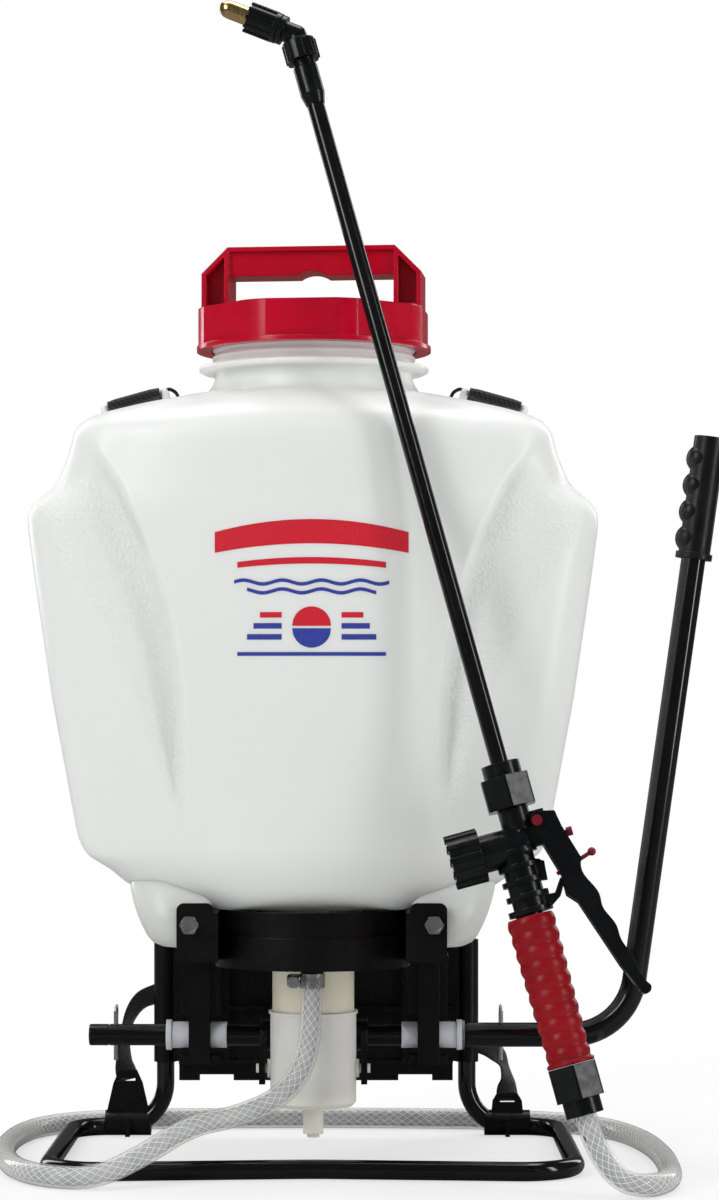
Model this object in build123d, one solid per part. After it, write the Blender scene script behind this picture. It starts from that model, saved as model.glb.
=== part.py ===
"""Backpack sprayer: a moulded tank on a bent tube frame, a lever pump below it, and a hose with a wand.

Frame of the part: millimetres, +X to the right and +Y towards the wearer's back as the tank's outer face
is seen, +Z up. The origin is on the floor below the middle of the tank mouth.
"""
import math
import os

from build123d import *

# ---------------------------------------------------------------- driving dimensions
TUBE_D = 12.0              # base frame tube
TUBE_BORE = 9.0
SIDE_X = 165.0             # half the frame's width, at the tube's centre line
FRONT_Y = -104.0           # ends of the frame's front run
FRONT_BOW_Y = -91.0        # middle of the frame's front run
REAR_Y = 106.0
UPRIGHT_X = 103.0
UPRIGHT_TOP_Z = 156.0
RUN_Z = TUBE_D / 2         # height of the ground loop's centre line

WALL = 3.0                 # tank wall
TANK_FLOOR_Z = 165.5
# height, half width, middle of the front, middle of the back, back at the sides
TANK_SECTIONS = [
    (165.5, 112.0, -80.0, 62.0, 84.0),
    (169.0, 121.0, -88.0, 68.0, 96.0),
    (177.0, 127.5, -93.0, 73.0, 104.0),
    (193.0, 143.8, -95.5, 77.0, 110.0),
    (210.0, 150.0, -96.5, 79.0, 114.0),
    (297.0, 166.0, -99.0, 82.0, 118.0),
    (375.0, 177.5, -99.0, 84.0, 118.0),
    (413.0, 182.5, -98.5, 84.0, 116.0),
    (421.0, 180.0, -98.0, 84.0, 115.0),
    (434.0, 165.0, -97.5, 84.0, 113.0),
    (457.0, 155.0, -96.0, 83.0, 108.0),
    (466.0, 153.5, -95.0, 82.5, 106.0),
    (473.0, 150.0, -92.0, 81.5, 103.0),
    (477.5, 143.5, -88.5, 80.0, 99.0),
    (482.0, 130.0, -84.0, 77.0, 93.0),
    (488.0, 106.0, -78.0, 73.0, 84.0),
    (493.5, 78.0, -71.0, 69.0, 75.0),
]
FRONT_CROWN = 20.0         # how far the front's corners stand behind its middle
FRONT_CORNER_R = 34.0
BACK_CORNER_R = 16.0

NECK_R = 64.0
NECK_BORE_R = 59.5
NECK_TOP_Z = 541.0
THREAD_R = 66.2
THREAD_PITCH = 6.0
NECK_RING_R = 74.6
NECK_RING_Z = 509.5

LEG_INNER_X = 62.4         # inner side of the two hollow feet under the tank
LEG_FOOT_X = 104.0
LEG_TOP_X = 115.5
LEG_FRONT_Y = -88.0
LEG_BACK_Y = 117.0
LEG_FOOT_Z = 142.0

LUG_PLACE = Pos(116, 0, 485.5) * Rot(0, 15.5, 0)   # the strap lug, lying on the sloped shoulder

BOLT_X = 76.0
BOLT_Z = 157.6
PUMP_HOLE_R = 20.0

CAP_FLANGE_R = 76.0
CAP_ACROSS_R = 72.5
CAP_BOTTOM_Z = 523.0
CAP_SHOULDER_Z = 549.5
CAP_BORE_R = 66.7
CAP_TURN = -6.0            # how far round the cap's handle stands
HANDLE_CHAMFER = 17.0
HANDLE_WALL = 3.0
BAR_RECESS = 3.5           # how far the grip bar's face is set back
SCALLOP_R = 16.5
SCALLOP_RISE = 3.0
HANDLE_HALF = 71.3
HANDLE_TOP_Z = 590.0
HANDLE_DEPTH = 34.0
WINDOW_HALF = 53.5
WINDOW_BOTTOM_Z = 551.0
WINDOW_TOP_Z = 571.6

PUMP_Y = -30.0
PLUNGER_R = 26.2
PLUNGER_BOTTOM_Z = 78.0
SEAL_Z = 80.3              # underside of the plunger's seal
SEAL_HEIGHT = 3.4
CUP_R = 27.5
CUP_BORE_R = 26.5
CUP_TOP_Z = 98.7
CUP_CORNER = 2.5            # the sloped corner under the cup
CUP_BOTTOM_Z = 38.0
CUP_NUB_Z = 20.0
TRUNNION_Z = 61.6

SHAFT_Y = 12.0
SHAFT_Z = 78.6
SHAFT_R = 7.0
SHAFT_LEFT_X = -147.0
SHAFT_RIGHT_X = 148.0
BUSH_R = 8.6
BUSH_BORE_R = 7.05
BUSH_FLANGE_R = 9.9

HITCH_X = (-129.6, 122.0)  # the two hitch pins through the shaft

LEVER_R = 7.95
LEVER_BORE_R = 7.02
LEVER_START_X = 100.0
LEVER_CORNER_X = 204.2
LEVER_LEAN = 8.0           # degrees that the lever leans outwards
LEVER_BEND_R = 42.0
LEVER_GRIP_Z = 389.5
LEVER_TOP_Z = 469.0

OUTLET_Y = -72.0
OUTLET_Z = 142.0
HOSE_R = 7.0
HOSE_EXIT_Z = 126.0
HOSE_BARB_R = 4.7
HOSE_BORE_R = 5.0
BARB_LENGTH = 18.0

# ---------------------------------------------------------------- wand frame
# The wand's own frame: +Z from the shut-off valve to the nozzle, +X across it towards the trigger.
WAND_ORIGIN = Vector(119.7, -133.0, 240.6)
WAND_TOP = Vector(0.5, -73.0, 676.0)
WAND_Z = (WAND_TOP - WAND_ORIGIN).normalized()
WAND_X = Vector(0, 1, 0).cross(WAND_Z).normalized()
WAND = Plane(origin=WAND_ORIGIN, x_dir=WAND_X, z_dir=WAND_Z)
GRIP_X = -7.3              # the grip's axis beside the wand's
ELBOW_Z = 495.7
ELBOW_TURN = 52.4
NOZZLE_R = 5.7
NOZZLE_NOSE = 7.4
PIVOT_X = 12.1
PIVOT_Z = -21.4
BOSS_Z = -32.2
VALVE_INLET_Z = -199.0
LOCK_TIP = (15.5, -55.2)
LOCK_ANGLE = 17.6

os.makedirs("parts", exist_ok=True)
nodes = {}


def keep(name, *pieces):
    """File a node, made of one or more separate closed solids."""
    solids = [solid for piece in pieces for solid in piece.solids()]
    nodes[name] = solids[0] if len(solids) == 1 else Compound(solids)


def block(x0, x1, y0, y1, z0, z1):
    """A box between two corners."""
    centre = ((x0 + x1) / 2, (y0 + y1) / 2, (z0 + z1) / 2)
    return Pos(*centre) * Box(abs(x1 - x0), abs(y1 - y0), abs(z1 - z0))


def rod_z(radius, z0, z1, x=0.0, y=0.0):
    """An upright cylinder between two heights."""
    return Pos(x, y, (z0 + z1) / 2) * Cylinder(radius, z1 - z0)


def rod_x(radius, x0, x1, y=0.0, z=0.0):
    """A cylinder along X."""
    return Pos((x0 + x1) / 2, y, z) * Rot(0, 90, 0) * Cylinder(radius, abs(x1 - x0))


def rod_y(radius, y0, y1, x=0.0, z=0.0):
    """A cylinder along Y."""
    return Pos(x, (y0 + y1) / 2, z) * Rot(90, 0, 0) * Cylinder(radius, abs(y1 - y0))


def ring_z(outer, inner, z0, z1, x=0.0, y=0.0):
    """An upright ring between two heights."""
    return rod_z(outer, z0, z1, x, y) - rod_z(inner, z0 - 1, z1 + 1, x, y)


def swept(path, radius):
    """A round bar along a path."""
    start = Plane(origin=path @ 0, z_dir=path % 0)
    return sweep(start * Circle(radius), path=path)


def mirrored(shape):
    """The same piece on the other side of the YZ plane."""
    return mirror(shape, about=Plane.YZ)


# ---------------------------------------------------------------- tank
def tank_section(z, half, front, back, back_side, inset):
    """One level of the tank: a crowned front, straight sides and a back hollowed to fit the wearer."""
    hx = half - inset
    front_mid = front + inset
    front_side = front_mid + FRONT_CROWN
    rear_side = back_side - inset
    rear_mid = back - inset
    outline = [
        ThreePointArc((-hx, front_side), (0, front_mid), (hx, front_side)),
        Line((hx, front_side), (hx, rear_side)),
        ThreePointArc((hx, rear_side), (0, rear_mid), (-hx, rear_side)),
        Line((-hx, rear_side), (-hx, front_side)),
    ]
    face = make_face(outline)
    corners = face.vertices().sort_by(Axis.Y)
    face = fillet(corners[:2], FRONT_CORNER_R - inset)
    corners = [v for v in face.vertices() if v.Y > rear_side - 1]
    face = fillet(corners, BACK_CORNER_R - inset)
    return Pos(0, 0, z) * face


def tank_body(inset):
    """The tank's closed outer form, or with an inset the space inside its wall."""
    faces = []
    last = len(TANK_SECTIONS) - 1
    for index, (z, half, front, back, back_side) in enumerate(TANK_SECTIONS):
        lift = inset if index == 0 else 0
        drop = inset if index == last else 0
        faces.append(tank_section(z + lift - drop, half, front, back, back_side, inset))
    return loft(faces, ruled=True)


def tank_leg(inset):
    """A hollow foot under the tank's right side, tapered on its outer side."""
    top_z = TANK_FLOOR_Z + 8
    foot_z = LEG_FOOT_Z + inset
    levels = [(foot_z, LEG_FOOT_X - 8, 7), (foot_z + 7, LEG_FOOT_X, 0), (top_z, LEG_TOP_X, 0)]
    faces = []
    for z, outer, ends in levels:
        width = outer - inset - LEG_INNER_X - inset
        depth = LEG_BACK_Y - LEG_FRONT_Y - 2 * inset - ends
        middle = (LEG_INNER_X + outer) / 2
        faces.append(Pos(middle, (LEG_FRONT_Y + LEG_BACK_Y) / 2, z) * RectangleRounded(width, depth, 8 - inset))
    return loft(faces, ruled=True)


def strap_lug():
    """The moulded bridge on the right shoulder that the shoulder strap's webbing goes round."""
    bridge = block(-21, 21, 23, 37, 8.5, 11.5)
    posts = block(-21, -18.5, 23, 37, -8, 9) + block(18.5, 21, 23, 37, -8, 9)
    return LUG_PLACE * (bridge + posts)


def make_tank():
    outer = tank_body(0) + tank_leg(0) + mirrored(tank_leg(0))
    outer += rod_z(NECK_R, 480, NECK_TOP_Z)
    outer += rod_z(NECK_RING_R, NECK_RING_Z, NECK_RING_Z + 3.2)
    for turn in range(4):
        z = NECK_TOP_Z - 5 - THREAD_PITCH * turn
        outer += rod_z(THREAD_R, z - 1.1, z + 1.1)
    inner = tank_body(WALL) + tank_leg(WALL) + mirrored(tank_leg(WALL))
    inner += rod_z(NECK_BORE_R, 470, NECK_TOP_Z + 1)
    tank = outer - inner
    tank += strap_lug() + mirrored(strap_lug())
    for side in (-1, 1):
        tank += rod_z(9.6, LEG_FOOT_Z + 1, UPRIGHT_TOP_Z + 4, side * UPRIGHT_X, REAR_Y)
        tank -= rod_z(TUBE_D / 2 + 0.2, LEG_FOOT_Z - 8, UPRIGHT_TOP_Z + 0.4, side * UPRIGHT_X, REAR_Y)
        tank += rod_y(6.5, LEG_FRONT_Y + 1, LEG_FRONT_Y + 16, side * BOLT_X, BOLT_Z)
        tank -= rod_y(3.1, LEG_FRONT_Y - 5, LEG_FRONT_Y + 13, side * BOLT_X, BOLT_Z)
    tank -= rod_z(PUMP_HOLE_R, TANK_FLOOR_Z - 3, TANK_FLOOR_Z + WALL + 3, 0, PUMP_Y)
    keep("tank", tank)


# ---------------------------------------------------------------- frame and brackets
def frame_path():
    """Centre line of the bent tube, from the top of one upright round the ground loop to the other."""
    corners = [
        (-UPRIGHT_X, REAR_Y, UPRIGHT_TOP_Z),
        (-UPRIGHT_X, REAR_Y, RUN_Z),
        (-SIDE_X, REAR_Y, RUN_Z),
        (-SIDE_X, FRONT_Y, RUN_Z),
        (0, FRONT_BOW_Y, RUN_Z),
        (SIDE_X, FRONT_Y, RUN_Z),
        (SIDE_X, REAR_Y, RUN_Z),
        (UPRIGHT_X, REAR_Y, RUN_Z),
        (UPRIGHT_X, REAR_Y, UPRIGHT_TOP_Z),
    ]
    radii = [30, 24, 34, 160, 34, 24, 30]
    return FilletPolyline(*corners, radius=radii)


def make_frame():
    path = frame_path()
    keep("base_frame", swept(path, TUBE_D / 2) - swept(path, TUBE_BORE / 2))


def make_back_plate():
    """The moulded plate behind the pump, with a sleeve down each upright."""
    half = 93.0
    plate = block(-half, half, 93, 96.5, 39, 134)
    for x0, x1 in ((-79, -56), (56, 79)):
        plate -= block(x0, x1, 90, 100, 30, 43)
    for z in (52, 88, 126):
        plate += block(-half, half, 88.5, 93.5, z - 1.5, z + 1.5)
    for x in (-60, -20, 20, 60):
        plate += block(x - 1.5, x + 1.5, 88.5, 93.5, 52, 126)
    for side in (-1, 1):
        plate += block(side * 89, side * 97, 93, 106, 52, 134)
        plate += rod_z(7.9, 50.6, 134, side * UPRIGHT_X, REAR_Y)
        plate -= rod_z(TUBE_D / 2 + 0.15, 40, 140, side * UPRIGHT_X, REAR_Y)
    keep("back_plate", plate)


def make_bracket():
    """The collar under the tank: a curved apron, two bolted ears and two legs that carry the cross shaft."""
    apron_outer = make_face([
        ThreePointArc((-61.6, -50), (0, -97), (61.6, -50)),
        Polyline((61.6, -50), (61.6, 20), (-61.6, 20), (-61.6, -50)),
    ])
    apron_inner = offset(apron_outer, amount=-3.2)
    bracket = Pos(0, 0, 129) * extrude(apron_outer, 36.2)
    bracket -= Pos(0, 0, 132.5) * extrude(apron_inner, 40)
    band = Pos(0, 0, 129) * extrude(offset(apron_outer, amount=1.8) - apron_inner, 20.2)
    bracket += band & block(-60.5, 60.5, -120, -40, 120, 160)
    bracket -= rod_z(33, 120, 140, 0, PUMP_Y)
    bracket -= block(-16, 16, -88, -50, 120, 140)
    for side in (-1, 1):
        ear = block(side * 61, side * 84, -92, -88.4, 134, 171)
        ear = fillet(ear.edges().filter_by(Axis.Y), 4.5) + block(side * 58.5, side * 62.2, -92, -46, 134, 165)
        ear -= rod_y(3.3, -100, -80, side * BOLT_X, BOLT_Z)
        leg = block(side * 67.5, side * 81.5, 0, 24, 60, 130)
        leg += block(side * 61, side * 87, 3, 21, 92, 130)
        leg += block(side * 61.5, side * 87.5, 2, 22, 60, 66)
        leg += block(side * 50, side * 87, -20, 40, 129, 132.5)
        leg -= rod_x(BUSH_R + 0.1, side * 50, side * 95, SHAFT_Y, SHAFT_Z)
        bracket += ear + leg
    keep("collar_bracket", bracket)


def hex_bolt(length):
    """A hexagon-headed screw along +Y with its head's underside at the origin."""
    head = Rot(90, 0, 0) * extrude(RegularPolygon(6.2, 6), 4.2)
    head = head & rod_y(5.95, -4.2, 0)
    return head - rod_y(4.2, -5, -3.8) + rod_y(3.0, 0, length)


def make_bracket_bolts():
    bolts = [Pos(side * BOLT_X, -92.3, BOLT_Z) * hex_bolt(14) for side in (-1, 1)]
    keep("bracket_bolts", *bolts)


def strap_clip(side):
    """A clip that snaps over the rear run and holds the strap's lower end in a slotted plate."""
    x0, x1 = (-144, -113) if side < 0 else (115, 146)
    middle = (x0 + x1) / 2
    sleeve = rod_x(8.6, x0, x1, REAR_Y, RUN_Z + 2.6)
    sleeve += block(middle - 1.5, middle + 1.5, REAR_Y - 11.5, REAR_Y, 0.2, RUN_Z + 6)
    if side < 0:
        outline = Polyline((-15, 4), (15, 4), (10, 26), (6, 35), (-6, 35), (-10, 26), (-15, 4))
    else:
        outline = Polyline((-11, 4), (11, 4), (10, 14), (7, 19), (-7, 19), (-10, 14), (-11, 4))
    plate = extrude(Plane.XZ * make_face(outline), 1.6, both=True)
    slot_z = 29.0 if side < 0 else 14.5
    plate -= block(-5, 5, -5, 5, slot_z - 1.6, slot_z + 1.6)
    clip = sleeve + Pos(middle, REAR_Y - 3, RUN_Z + 4) * plate
    clip -= swept(frame_path(), TUBE_D / 2 + 0.05)
    return clip & block(-250, 250, 0, 200, 0.05, 100)


# ---------------------------------------------------------------- pump
def make_pump():
    """Fixed plunger, sliding cup, valves, and the pressure chamber inside the tank."""
    bottom = PLUNGER_BOTTOM_Z
    plunger = rod_z(PLUNGER_R, bottom, 165.3, 0, PUMP_Y) - rod_z(PLUNGER_R - 3, bottom + 4, 161, 0, PUMP_Y)
    plunger -= rod_z(6.6, bottom - 6, bottom + 6, 0, PUMP_Y)
    plunger -= ring_z(PLUNGER_R + 1, PLUNGER_R - 1.6, SEAL_Z - 0.1, SEAL_Z + SEAL_HEIGHT + 0.1, 0, PUMP_Y)
    plunger += ring_z(31.5, PLUNGER_R - 3, 153, 165.3, 0, PUMP_Y)
    plunger += rod_z(PUMP_HOLE_R - 0.3, 165.2, 186, 0, PUMP_Y) - rod_z(14, 160, 190, 0, PUMP_Y)
    plunger -= rod_z(14, 160, 190, 0, PUMP_Y)
    keep("pump_plunger", plunger)
    keep("piston_seal", ring_z(PLUNGER_R + 0.24, PLUNGER_R - 1.5, SEAL_Z, SEAL_Z + SEAL_HEIGHT, 0, PUMP_Y))
    keep("intake_seat", ring_z(6.5, 3.4, bottom + 0.3, bottom + 6.5, 0, PUMP_Y))
    keep("check_balls", Pos(0, PUMP_Y, bottom + 10.6) * Sphere(5.0), Pos(0, PUMP_Y, 171.5) * Sphere(6.5))
    riser = ring_z(8.6, 6.9, bottom + 7, 160, 0, PUMP_Y) + ring_z(13.7, 5.4, 160.2, 165.5, 0, PUMP_Y)
    riser += ring_z(8.6, 5.4, 159, 160.6, 0, PUMP_Y)
    keep("riser_tube", riser)

    nut = ring_z(29, PUMP_HOLE_R - 0.2, 168.8, 176, 0, PUMP_Y)
    for step in range(6):
        nut -= Pos(0, PUMP_Y, 0) * Rot(0, 0, 60 * step) * rod_z(3.5, 166, 180, 30, 0)
    keep("chamber_nut", nut)
    dome = rod_z(25, 176.3, 286, 0, PUMP_Y) + Pos(0, PUMP_Y, 286) * Sphere(25)
    hollow = rod_z(22.5, 186.3, 286, 0, PUMP_Y) + Pos(0, PUMP_Y, 286) * Sphere(22.5)
    chamber = dome - hollow - rod_z(PUMP_HOLE_R - 0.25, 170, 190, 0, PUMP_Y)
    keep("pressure_chamber", chamber)
    keep("chamber_gasket", ring_z(PUMP_HOLE_R - 0.6, 14.2, 186.1, 188.3, 0, PUMP_Y))

    cup = rod_z(CUP_R, CUP_BOTTOM_Z + CUP_CORNER, CUP_TOP_Z, 0, PUMP_Y)
    cup += Pos(0, PUMP_Y, CUP_BOTTOM_Z + CUP_CORNER / 2) * Cone(CUP_R - CUP_CORNER, CUP_R, CUP_CORNER)
    cup += ring_z(CUP_R + 1.0, CUP_BORE_R, CUP_TOP_Z - 1.6, CUP_TOP_Z, 0, PUMP_Y)
    cup += rod_z(6.5, CUP_NUB_Z, CUP_BOTTOM_Z + 1, 0, PUMP_Y)
    for side in (-1, 1):
        cup += rod_x(6.0, side * (CUP_R - 2), side * 29.4, PUMP_Y, TRUNNION_Z)
        cup += rod_x(3.0, side * (CUP_R - 2), side * 36.5, PUMP_Y, TRUNNION_Z)
    cup -= rod_z(CUP_BORE_R, CUP_BOTTOM_Z + 8, CUP_TOP_Z + 1, 0, PUMP_Y)
    keep("pump_cup", cup)
    keep("cup_drain_plug", rod_z(4.0, CUP_NUB_Z - 2.4, CUP_NUB_Z - 0.1, 0, PUMP_Y))

    elbow = rod_y(7.0, PUMP_Y - 30.5, OUTLET_Y, 0, OUTLET_Z) + rod_z(7.0, HOSE_EXIT_Z, OUTLET_Z, 0, OUTLET_Y)
    elbow += Pos(0, OUTLET_Y, OUTLET_Z) * Sphere(7.0)
    elbow += rod_y(11, PUMP_Y - 31, PUMP_Y - 26.4, 0, OUTLET_Z) - rod_z(PLUNGER_R + 0.05, 120, 160, 0, PUMP_Y)
    elbow += rod_z(HOSE_BARB_R, HOSE_EXIT_Z - BARB_LENGTH, HOSE_EXIT_Z, 0, OUTLET_Y)
    elbow -= rod_z(2.6, HOSE_EXIT_Z - BARB_LENGTH - 1, OUTLET_Z, 0, OUTLET_Y)
    elbow -= rod_y(2.6, PUMP_Y - 20, OUTLET_Y, 0, OUTLET_Z)
    keep("outlet_elbow", elbow)


def make_hose_clamp():
    """A worm-drive clamp: a slotted band, the screw's housing and the screw."""
    z0, z1 = 117.0, 126.0
    band = ring_z(HOSE_R + 0.9, HOSE_R + 0.1, z0, z1, 0, OUTLET_Y)
    housing = block(-15.5, -6.8, OUTLET_Y - 5, OUTLET_Y + 4, z0, z1 - 1)
    band += housing - rod_z(HOSE_R + 0.5, z0 - 1, z1 + 1, 0, OUTLET_Y)
    band -= rod_y(3.0, OUTLET_Y - 9, OUTLET_Y + 9, -11.4, 121)
    keep("hose_clamp", band)
    screw = rod_y(2.9, OUTLET_Y - 7, OUTLET_Y + 6, -11.4, 121)
    screw += Pos(-11.4, OUTLET_Y - 7, 121) * Rot(90, 0, 0) * extrude(RegularPolygon(3.9, 6), 4)
    keep("clamp_screw", screw)


HOSE_ROUTE = [
    (0, -72, 126),
    (0, -72, 97),
    (-4, -75, 69),
    (-19, -82, 49),
    (-47, -92, 38.5),
    (-75, -107, 35),
    (-101, -125, 20),
    (-130, -136, 7),
    (-160, -129, 7),
    (-182, -99, 7),
    (-195, -52, 7),
    (-201, 2, 7),
    (-199, 55, 7),
    (-188, 99, 7),
    (-158, 128, 7),
    (-108, 138, 7),
    (-43, 142, 7),
    (35, 142, 7),
    (105, 137, 7),
    (163, 123, 7),
    (200, 89, 7),
    (217, 32, 7),
    (223, -34, 7),
    (222, -94, 7),
    (218, -141, 7),
    (203, -168, 7),
    (184, -169, 10),
]


def hose_route():
    """The route's points, ending in the line of the shut-off valve's hose tail."""
    inlet = WAND.from_local_coords(Vector(GRIP_X, 0, VALVE_INLET_Z))
    before = WAND.from_local_coords(Vector(GRIP_X, 0, VALVE_INLET_Z - 18))
    return [Vector(*point) for point in HOSE_ROUTE] + [before, inlet]


def hose_radii(points):
    """The arc at each point: as large as its two runs allow."""
    radii = []
    for before, here, after in zip(points, points[1:], points[2:]):
        turn = (here - before).get_angle(after - here)
        shorter = min((here - before).length, (after - here).length)
        radii.append(0.45 * shorter / math.tan(math.radians(turn) / 2))
    return radii


def make_hose():
    points = hose_route()
    radii = hose_radii(points)
    print("hose radii", [round(radius) for radius in radii])
    path = FilletPolyline(*points, radius=radii)
    hose = swept(path, HOSE_R)
    print("hose length", round(path.length, 1), "volume ratio",
          round(hose.volume / (math.pi * HOSE_R ** 2 * path.length), 4))
    hose -= rod_z(HOSE_BORE_R, HOSE_EXIT_Z - BARB_LENGTH - 0.5, HOSE_EXIT_Z + 1, 0, OUTLET_Y)
    tail = WAND * Pos(GRIP_X, 0, VALVE_INLET_Z - 7.5)
    hose -= tail * Cylinder(HOSE_BORE_R, 17)
    keep("hose", hose)


# ---------------------------------------------------------------- lever and shaft
def make_shaft():
    shaft = rod_x(SHAFT_R, SHAFT_LEFT_X, SHAFT_RIGHT_X, SHAFT_Y, SHAFT_Z)
    shaft = fillet(shaft.edges().filter_by(GeomType.CIRCLE), 1.2)
    groove = rod_x(SHAFT_R + 1, -134.5, -133.5, SHAFT_Y, SHAFT_Z)
    groove -= rod_x(SHAFT_R - 0.4, -135, -133, SHAFT_Y, SHAFT_Z)
    shaft -= groove
    for x in HITCH_X + (-108.0,):
        shaft -= rod_z(1.6, 60, 100, x, SHAFT_Y)
    shaft -= rod_z(2.6, 60, 100, 0, SHAFT_Y)
    keep("cross_shaft", shaft)
    for side, name in ((-1, "shaft_bushing_left"), (1, "shaft_bushing_right")):
        bush = rod_x(BUSH_R, side * 57, side * 94, SHAFT_Y, SHAFT_Z)
        bush += rod_x(BUSH_FLANGE_R, side * 93, side * 96.5, SHAFT_Y, SHAFT_Z)
        keep(name, bush - rod_x(BUSH_BORE_R, side * 50, side * 100, SHAFT_Y, SHAFT_Z))
    washer = rod_x(9.4, 96.9, 98.1, SHAFT_Y, SHAFT_Z) - rod_x(SHAFT_R + 0.1, 90, 100, SHAFT_Y, SHAFT_Z)
    keep("shaft_washer", washer)


def make_fork():
    """The crank on the shaft: a hub with an arm each side of the cup, slotted for the cup's trunnions."""
    hub = rod_x(10.5, -35, 35, SHAFT_Y, SHAFT_Z) - rod_x(SHAFT_R + 0.05, -40, 40, SHAFT_Y, SHAFT_Z)
    reach = SHAFT_Y - PUMP_Y
    down = SHAFT_Z - TRUNNION_Z
    angle = math.degrees(math.atan2(down, reach))
    length = math.hypot(reach, down)
    fork = hub
    for side in (-1, 1):
        arm = block(side * 30.6, side * 34.6, -length - 8, 0, -7.5, 7.5)
        slot = block(side * 28, side * 38, -length - 1.6, -length + 7.5, -3.9, 3.9)
        slot += rod_x(3.9, side * 28, side * 38, -length - 1.6, 0)
        fork += Pos(0, SHAFT_Y, SHAFT_Z) * Rot(angle, 0, 0) * (arm - slot)
    fork -= rod_x(SHAFT_R + 0.05, -40, 40, SHAFT_Y, SHAFT_Z)
    fork -= rod_z(2.6, 60, 100, 0, SHAFT_Y)
    keep("pump_fork", fork)
    keep("fork_pin", rod_z(2.5, 66.5, 91, 0, SHAFT_Y) + rod_z(4.0, 90, 92.5, 0, SHAFT_Y))


def lever_path():
    """Centre line of the lever tube: out from the shaft, then up and slightly outwards."""
    lean = math.tan(math.radians(LEVER_LEAN))
    top_x = LEVER_CORNER_X + (LEVER_TOP_Z - 6 - SHAFT_Z) * lean
    corners = [(LEVER_START_X, SHAFT_Y, SHAFT_Z), (LEVER_CORNER_X, SHAFT_Y, SHAFT_Z),
               (top_x, SHAFT_Y, LEVER_TOP_Z - 6)]
    return FilletPolyline(*corners, radius=LEVER_BEND_R)


def make_lever():
    path = lever_path()
    tube = swept(path, LEVER_R) - swept(path, LEVER_BORE_R)
    tube -= rod_z(1.6, 60, 100, HITCH_X[1], SHAFT_Y)
    keep("lever_tube", tube)
    lean = math.tan(math.radians(LEVER_LEAN))
    base_x = LEVER_CORNER_X + (LEVER_GRIP_Z - SHAFT_Z) * lean
    place = Pos(base_x, SHAFT_Y, LEVER_GRIP_Z) * Rot(0, LEVER_LEAN, 0)
    length = (LEVER_TOP_Z - LEVER_GRIP_Z) / math.cos(math.radians(LEVER_LEAN))
    grip = rod_z(10.4, 0, length)
    for bump in range(4):
        grip += Pos(-4.2, 0, 13 + 17.5 * bump) * Sphere(9.6)
    grip += rod_z(12.0, 0, 4)
    grip = grip & block(-30, 30, -30, 30, 0, length)
    grip -= rod_z(LEVER_R + 0.05, -1, length - 6.0)
    keep("lever_grip", place * grip)
    hitch = []
    for x in HITCH_X:
        shank = rod_z(1.5, 62, 94, x, SHAFT_Y)
        loop = Pos(x, SHAFT_Y + 4.0, 93) * Rot(0, 90, 0) * Torus(4.0, 1.0)
        hitch.append(shank + loop)
    keep("hitch_pins", *hitch)


# ---------------------------------------------------------------- mouth, strainer and cap
def make_strainer():
    basket = rod_z(55.5, 431, 541.2) - rod_z(54.0, 433, 545)
    for level in range(3):
        z = 441 + 32 * level
        for step in range(12):
            window = Rot(0, 0, 30 * step) * block(45, 60, -11, 11, z, z + 26)
            basket -= window
    for ring in (14, 30, 46):
        basket -= ring_z(ring, ring - 11, 425, 436) - block(-60, 60, -2.5, 2.5, 420, 440) \
            - block(-2.5, 2.5, -60, 60, 420, 440)
    basket += ring_z(65.2, 54.0, 541.2, 543.0)
    keep("strainer_basket", basket)
    mesh = ring_z(53.9, 53.3, 433.2, 540)
    keep("strainer_mesh", mesh)


def cap_handle():
    """The upright handle: a frame with its web set back on both faces."""
    corner_x = HANDLE_HALF - HANDLE_CHAMFER
    corner_z = HANDLE_TOP_Z - HANDLE_CHAMFER
    outline = Polyline((-HANDLE_HALF, CAP_SHOULDER_Z - 1), (-HANDLE_HALF, corner_z), (-corner_x, HANDLE_TOP_Z),
                       (corner_x, HANDLE_TOP_Z), (HANDLE_HALF, corner_z), (HANDLE_HALF, CAP_SHOULDER_Z - 1),
                       (-HANDLE_HALF, CAP_SHOULDER_Z - 1))
    plate = make_face(outline)
    solid = extrude(Plane.XZ * plate, HANDLE_DEPTH / 2, both=True)
    window = block(-WINDOW_HALF, WINDOW_HALF, -40, 40, WINDOW_BOTTOM_Z, WINDOW_TOP_Z)
    scallop = rod_y(SCALLOP_R, -40, 40, 0, WINDOW_TOP_Z + SCALLOP_RISE - SCALLOP_R)
    window += scallop & block(-20, 20, -40, 40, WINDOW_TOP_Z - 1, HANDLE_TOP_Z)
    rim = extrude(Plane.XZ * offset(plate, amount=-HANDLE_WALL), HANDLE_DEPTH, both=True)
    inner = WINDOW_HALF + HANDLE_WALL
    for side in (-1, 1):
        for end in (-1, 1):
            pillar = block(end * inner, end * 80, side * 4, side * 40, CAP_SHOULDER_Z + 3, HANDLE_TOP_Z)
            solid -= rim & pillar
        bar_face = side * (HANDLE_DEPTH / 2 - BAR_RECESS)
        bar = block(-WINDOW_HALF, WINDOW_HALF, bar_face, side * 40, WINDOW_TOP_Z - 1, HANDLE_TOP_Z)
        solid -= rim & bar
    return solid - window


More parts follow.
